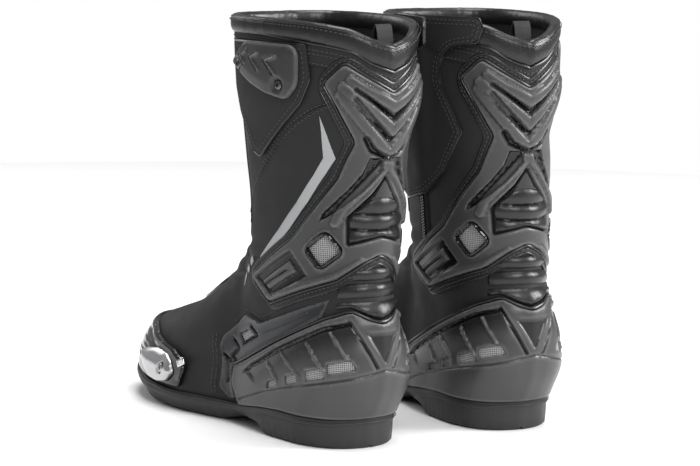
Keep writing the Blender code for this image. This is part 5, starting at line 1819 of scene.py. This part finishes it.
@dataclass
class Studio:
    """A pale floor, soft light and the camera."""

    lens: float = 138.86
    target: tuple[float, float, float] = (-0.071, -0.1015, 0.0)
    distance: float = 2.03
    aside: float = -0.0037037  # where the target lies off the camera's axis, as a share of the distance
    below: float = 0.0759259
    azimuth: float = 32.0
    dip: float = 8.0
    roll: float = 1.0
    floor_radius: float = 1.7
    lights: tuple[tuple[str, tuple[float, float, float], float, float], ...] = (  # name, place, size, watts
        ("key", (-0.55, -2.2, 1.7), 1.0, 36.0),
        ("fill", (1.7, -1.3, 1.2), 1.0, 60.0),
        ("top", (0.1, -0.1, 2.2), 1.3, 50.0),
        ("front", (-0.8, 2.2, 1.4), 1.2, 14.0),
    )

    def build(self) -> None:
        """Makes the floor, the world, the lights and the camera."""
        bpy.ops.object.select_all(action="DESELECT")
        bpy.ops.mesh.primitive_circle_add(vertices=96, radius=self.floor_radius, fill_type="NGON",
                                          location=(0, 0, -0.0003))
        floor = bpy.context.object
        floor.name = "floor"
        bpy.ops.object.transform_apply(location=True, rotation=True, scale=True)
        pale = bpy.data.materials.new("pale_floor")
        pale.use_nodes = True
        shader = pale.node_tree.nodes["Principled BSDF"]
        shader.inputs["Base Color"].default_value = (0.86, 0.86, 0.86, 1)
        shader.inputs["Roughness"].default_value = 0.9
        shader.inputs["Specular IOR Level"].default_value = 0.1
        floor.data.materials.append(pale)

        world = bpy.data.worlds.new("studio")
        bpy.context.scene.world = world
        world.use_nodes = True
        world.node_tree.nodes["Background"].inputs["Color"].default_value = (1, 1, 1, 1)
        world.node_tree.nodes["Background"].inputs["Strength"].default_value = 0.30
        self.backdrop()
        for lamp in self.lights:
            self.light(*lamp)
        self.aim()
        bpy.context.scene.view_settings.view_transform = "Standard"

    @staticmethod
    def backdrop() -> None:
        """Hangs a plain white surround that is only seen, and neither lights nor shades anything."""
        bpy.ops.object.select_all(action="DESELECT")
        bpy.ops.mesh.primitive_uv_sphere_add(segments=48, ring_count=24, radius=11.0, location=(0, 0, 0))
        surround = bpy.context.object
        surround.name = "backdrop"
        bpy.ops.object.mode_set(mode="EDIT")
        bpy.ops.mesh.select_all(action="SELECT")
        bpy.ops.mesh.flip_normals()
        bpy.ops.object.mode_set(mode="OBJECT")
        white = bpy.data.materials.new("white_surround")
        white.use_nodes = True
        shader = white.node_tree.nodes["Principled BSDF"]
        shader.inputs["Base Color"].default_value = (0, 0, 0, 1)
        shader.inputs["Specular IOR Level"].default_value = 0.0
        shader.inputs["Emission Color"].default_value = (1, 1, 1, 1)
        shader.inputs["Emission Strength"].default_value = 1.0
        surround.data.materials.append(white)
        for ray in ("diffuse", "glossy", "transmission", "volume_scatter", "shadow"):
            setattr(surround, "visible_" + ray, False)

    @staticmethod
    def light(name: str, place: tuple[float, float, float], size: float, watts: float) -> None:
        """Adds a square soft light that points at the boots."""
        data = bpy.data.lights.new(name, "AREA")
        data.size = size
        data.energy = watts
        lamp = bpy.data.objects.new(name, data)
        lamp.location = place
        lamp.rotation_euler = (Vector((0, 0, 0.15)) - Vector(place)).to_track_quat("-Z", "Y").to_euler()
        bpy.context.scene.collection.objects.link(lamp)

    def aim(self) -> None:
        """Stands the camera behind the boots and a little above them."""
        a, p, r = (math.radians(v) for v in (self.azimuth, self.dip, self.roll))
        forward = Vector((math.sin(a) * math.cos(p), math.cos(a) * math.cos(p), -math.sin(p)))
        right = Vector((math.cos(a), -math.sin(a), 0))
        up = right.cross(forward)
        rows = [right * math.cos(r) + up * math.sin(r), up * math.cos(r) - right * math.sin(r), forward]
        seen_at = rows[0] * self.aside - rows[1] * self.below + rows[2]
        spot = Vector(self.target) - seen_at * self.distance
        data = bpy.data.cameras.new("camera")
        data.lens = self.lens
        data.sensor_width = 36.0
        data.clip_end = 60.0
        camera = bpy.data.objects.new("camera", data)
        turn = Matrix((rows[0], rows[1], -rows[2])).transposed().to_4x4()
        camera.matrix_world = Matrix.Translation(spot) @ turn
        bpy.context.scene.collection.objects.link(camera)
        bpy.context.scene.camera = camera


def main() -> None:
    """Builds every sub-assembly in order."""
    logging.basicConfig(level=logging.INFO, format="%(name)s: %(message)s")
    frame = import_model()
    Studio().build()
    shop = Workshop(frame)
    for assembly in (Sole(), Upper(), HeelGuard(), Bellows(), CalfFrame(), SideGuard(), ToeArmour(), Shin(),
                     Closure(), Collar()):
        assembly.build(shop)
        LOG.info("%s done", type(assembly).__name__)
    LOG.info("%d new pieces", shop.count)


if __name__ == "__main__":
    main()
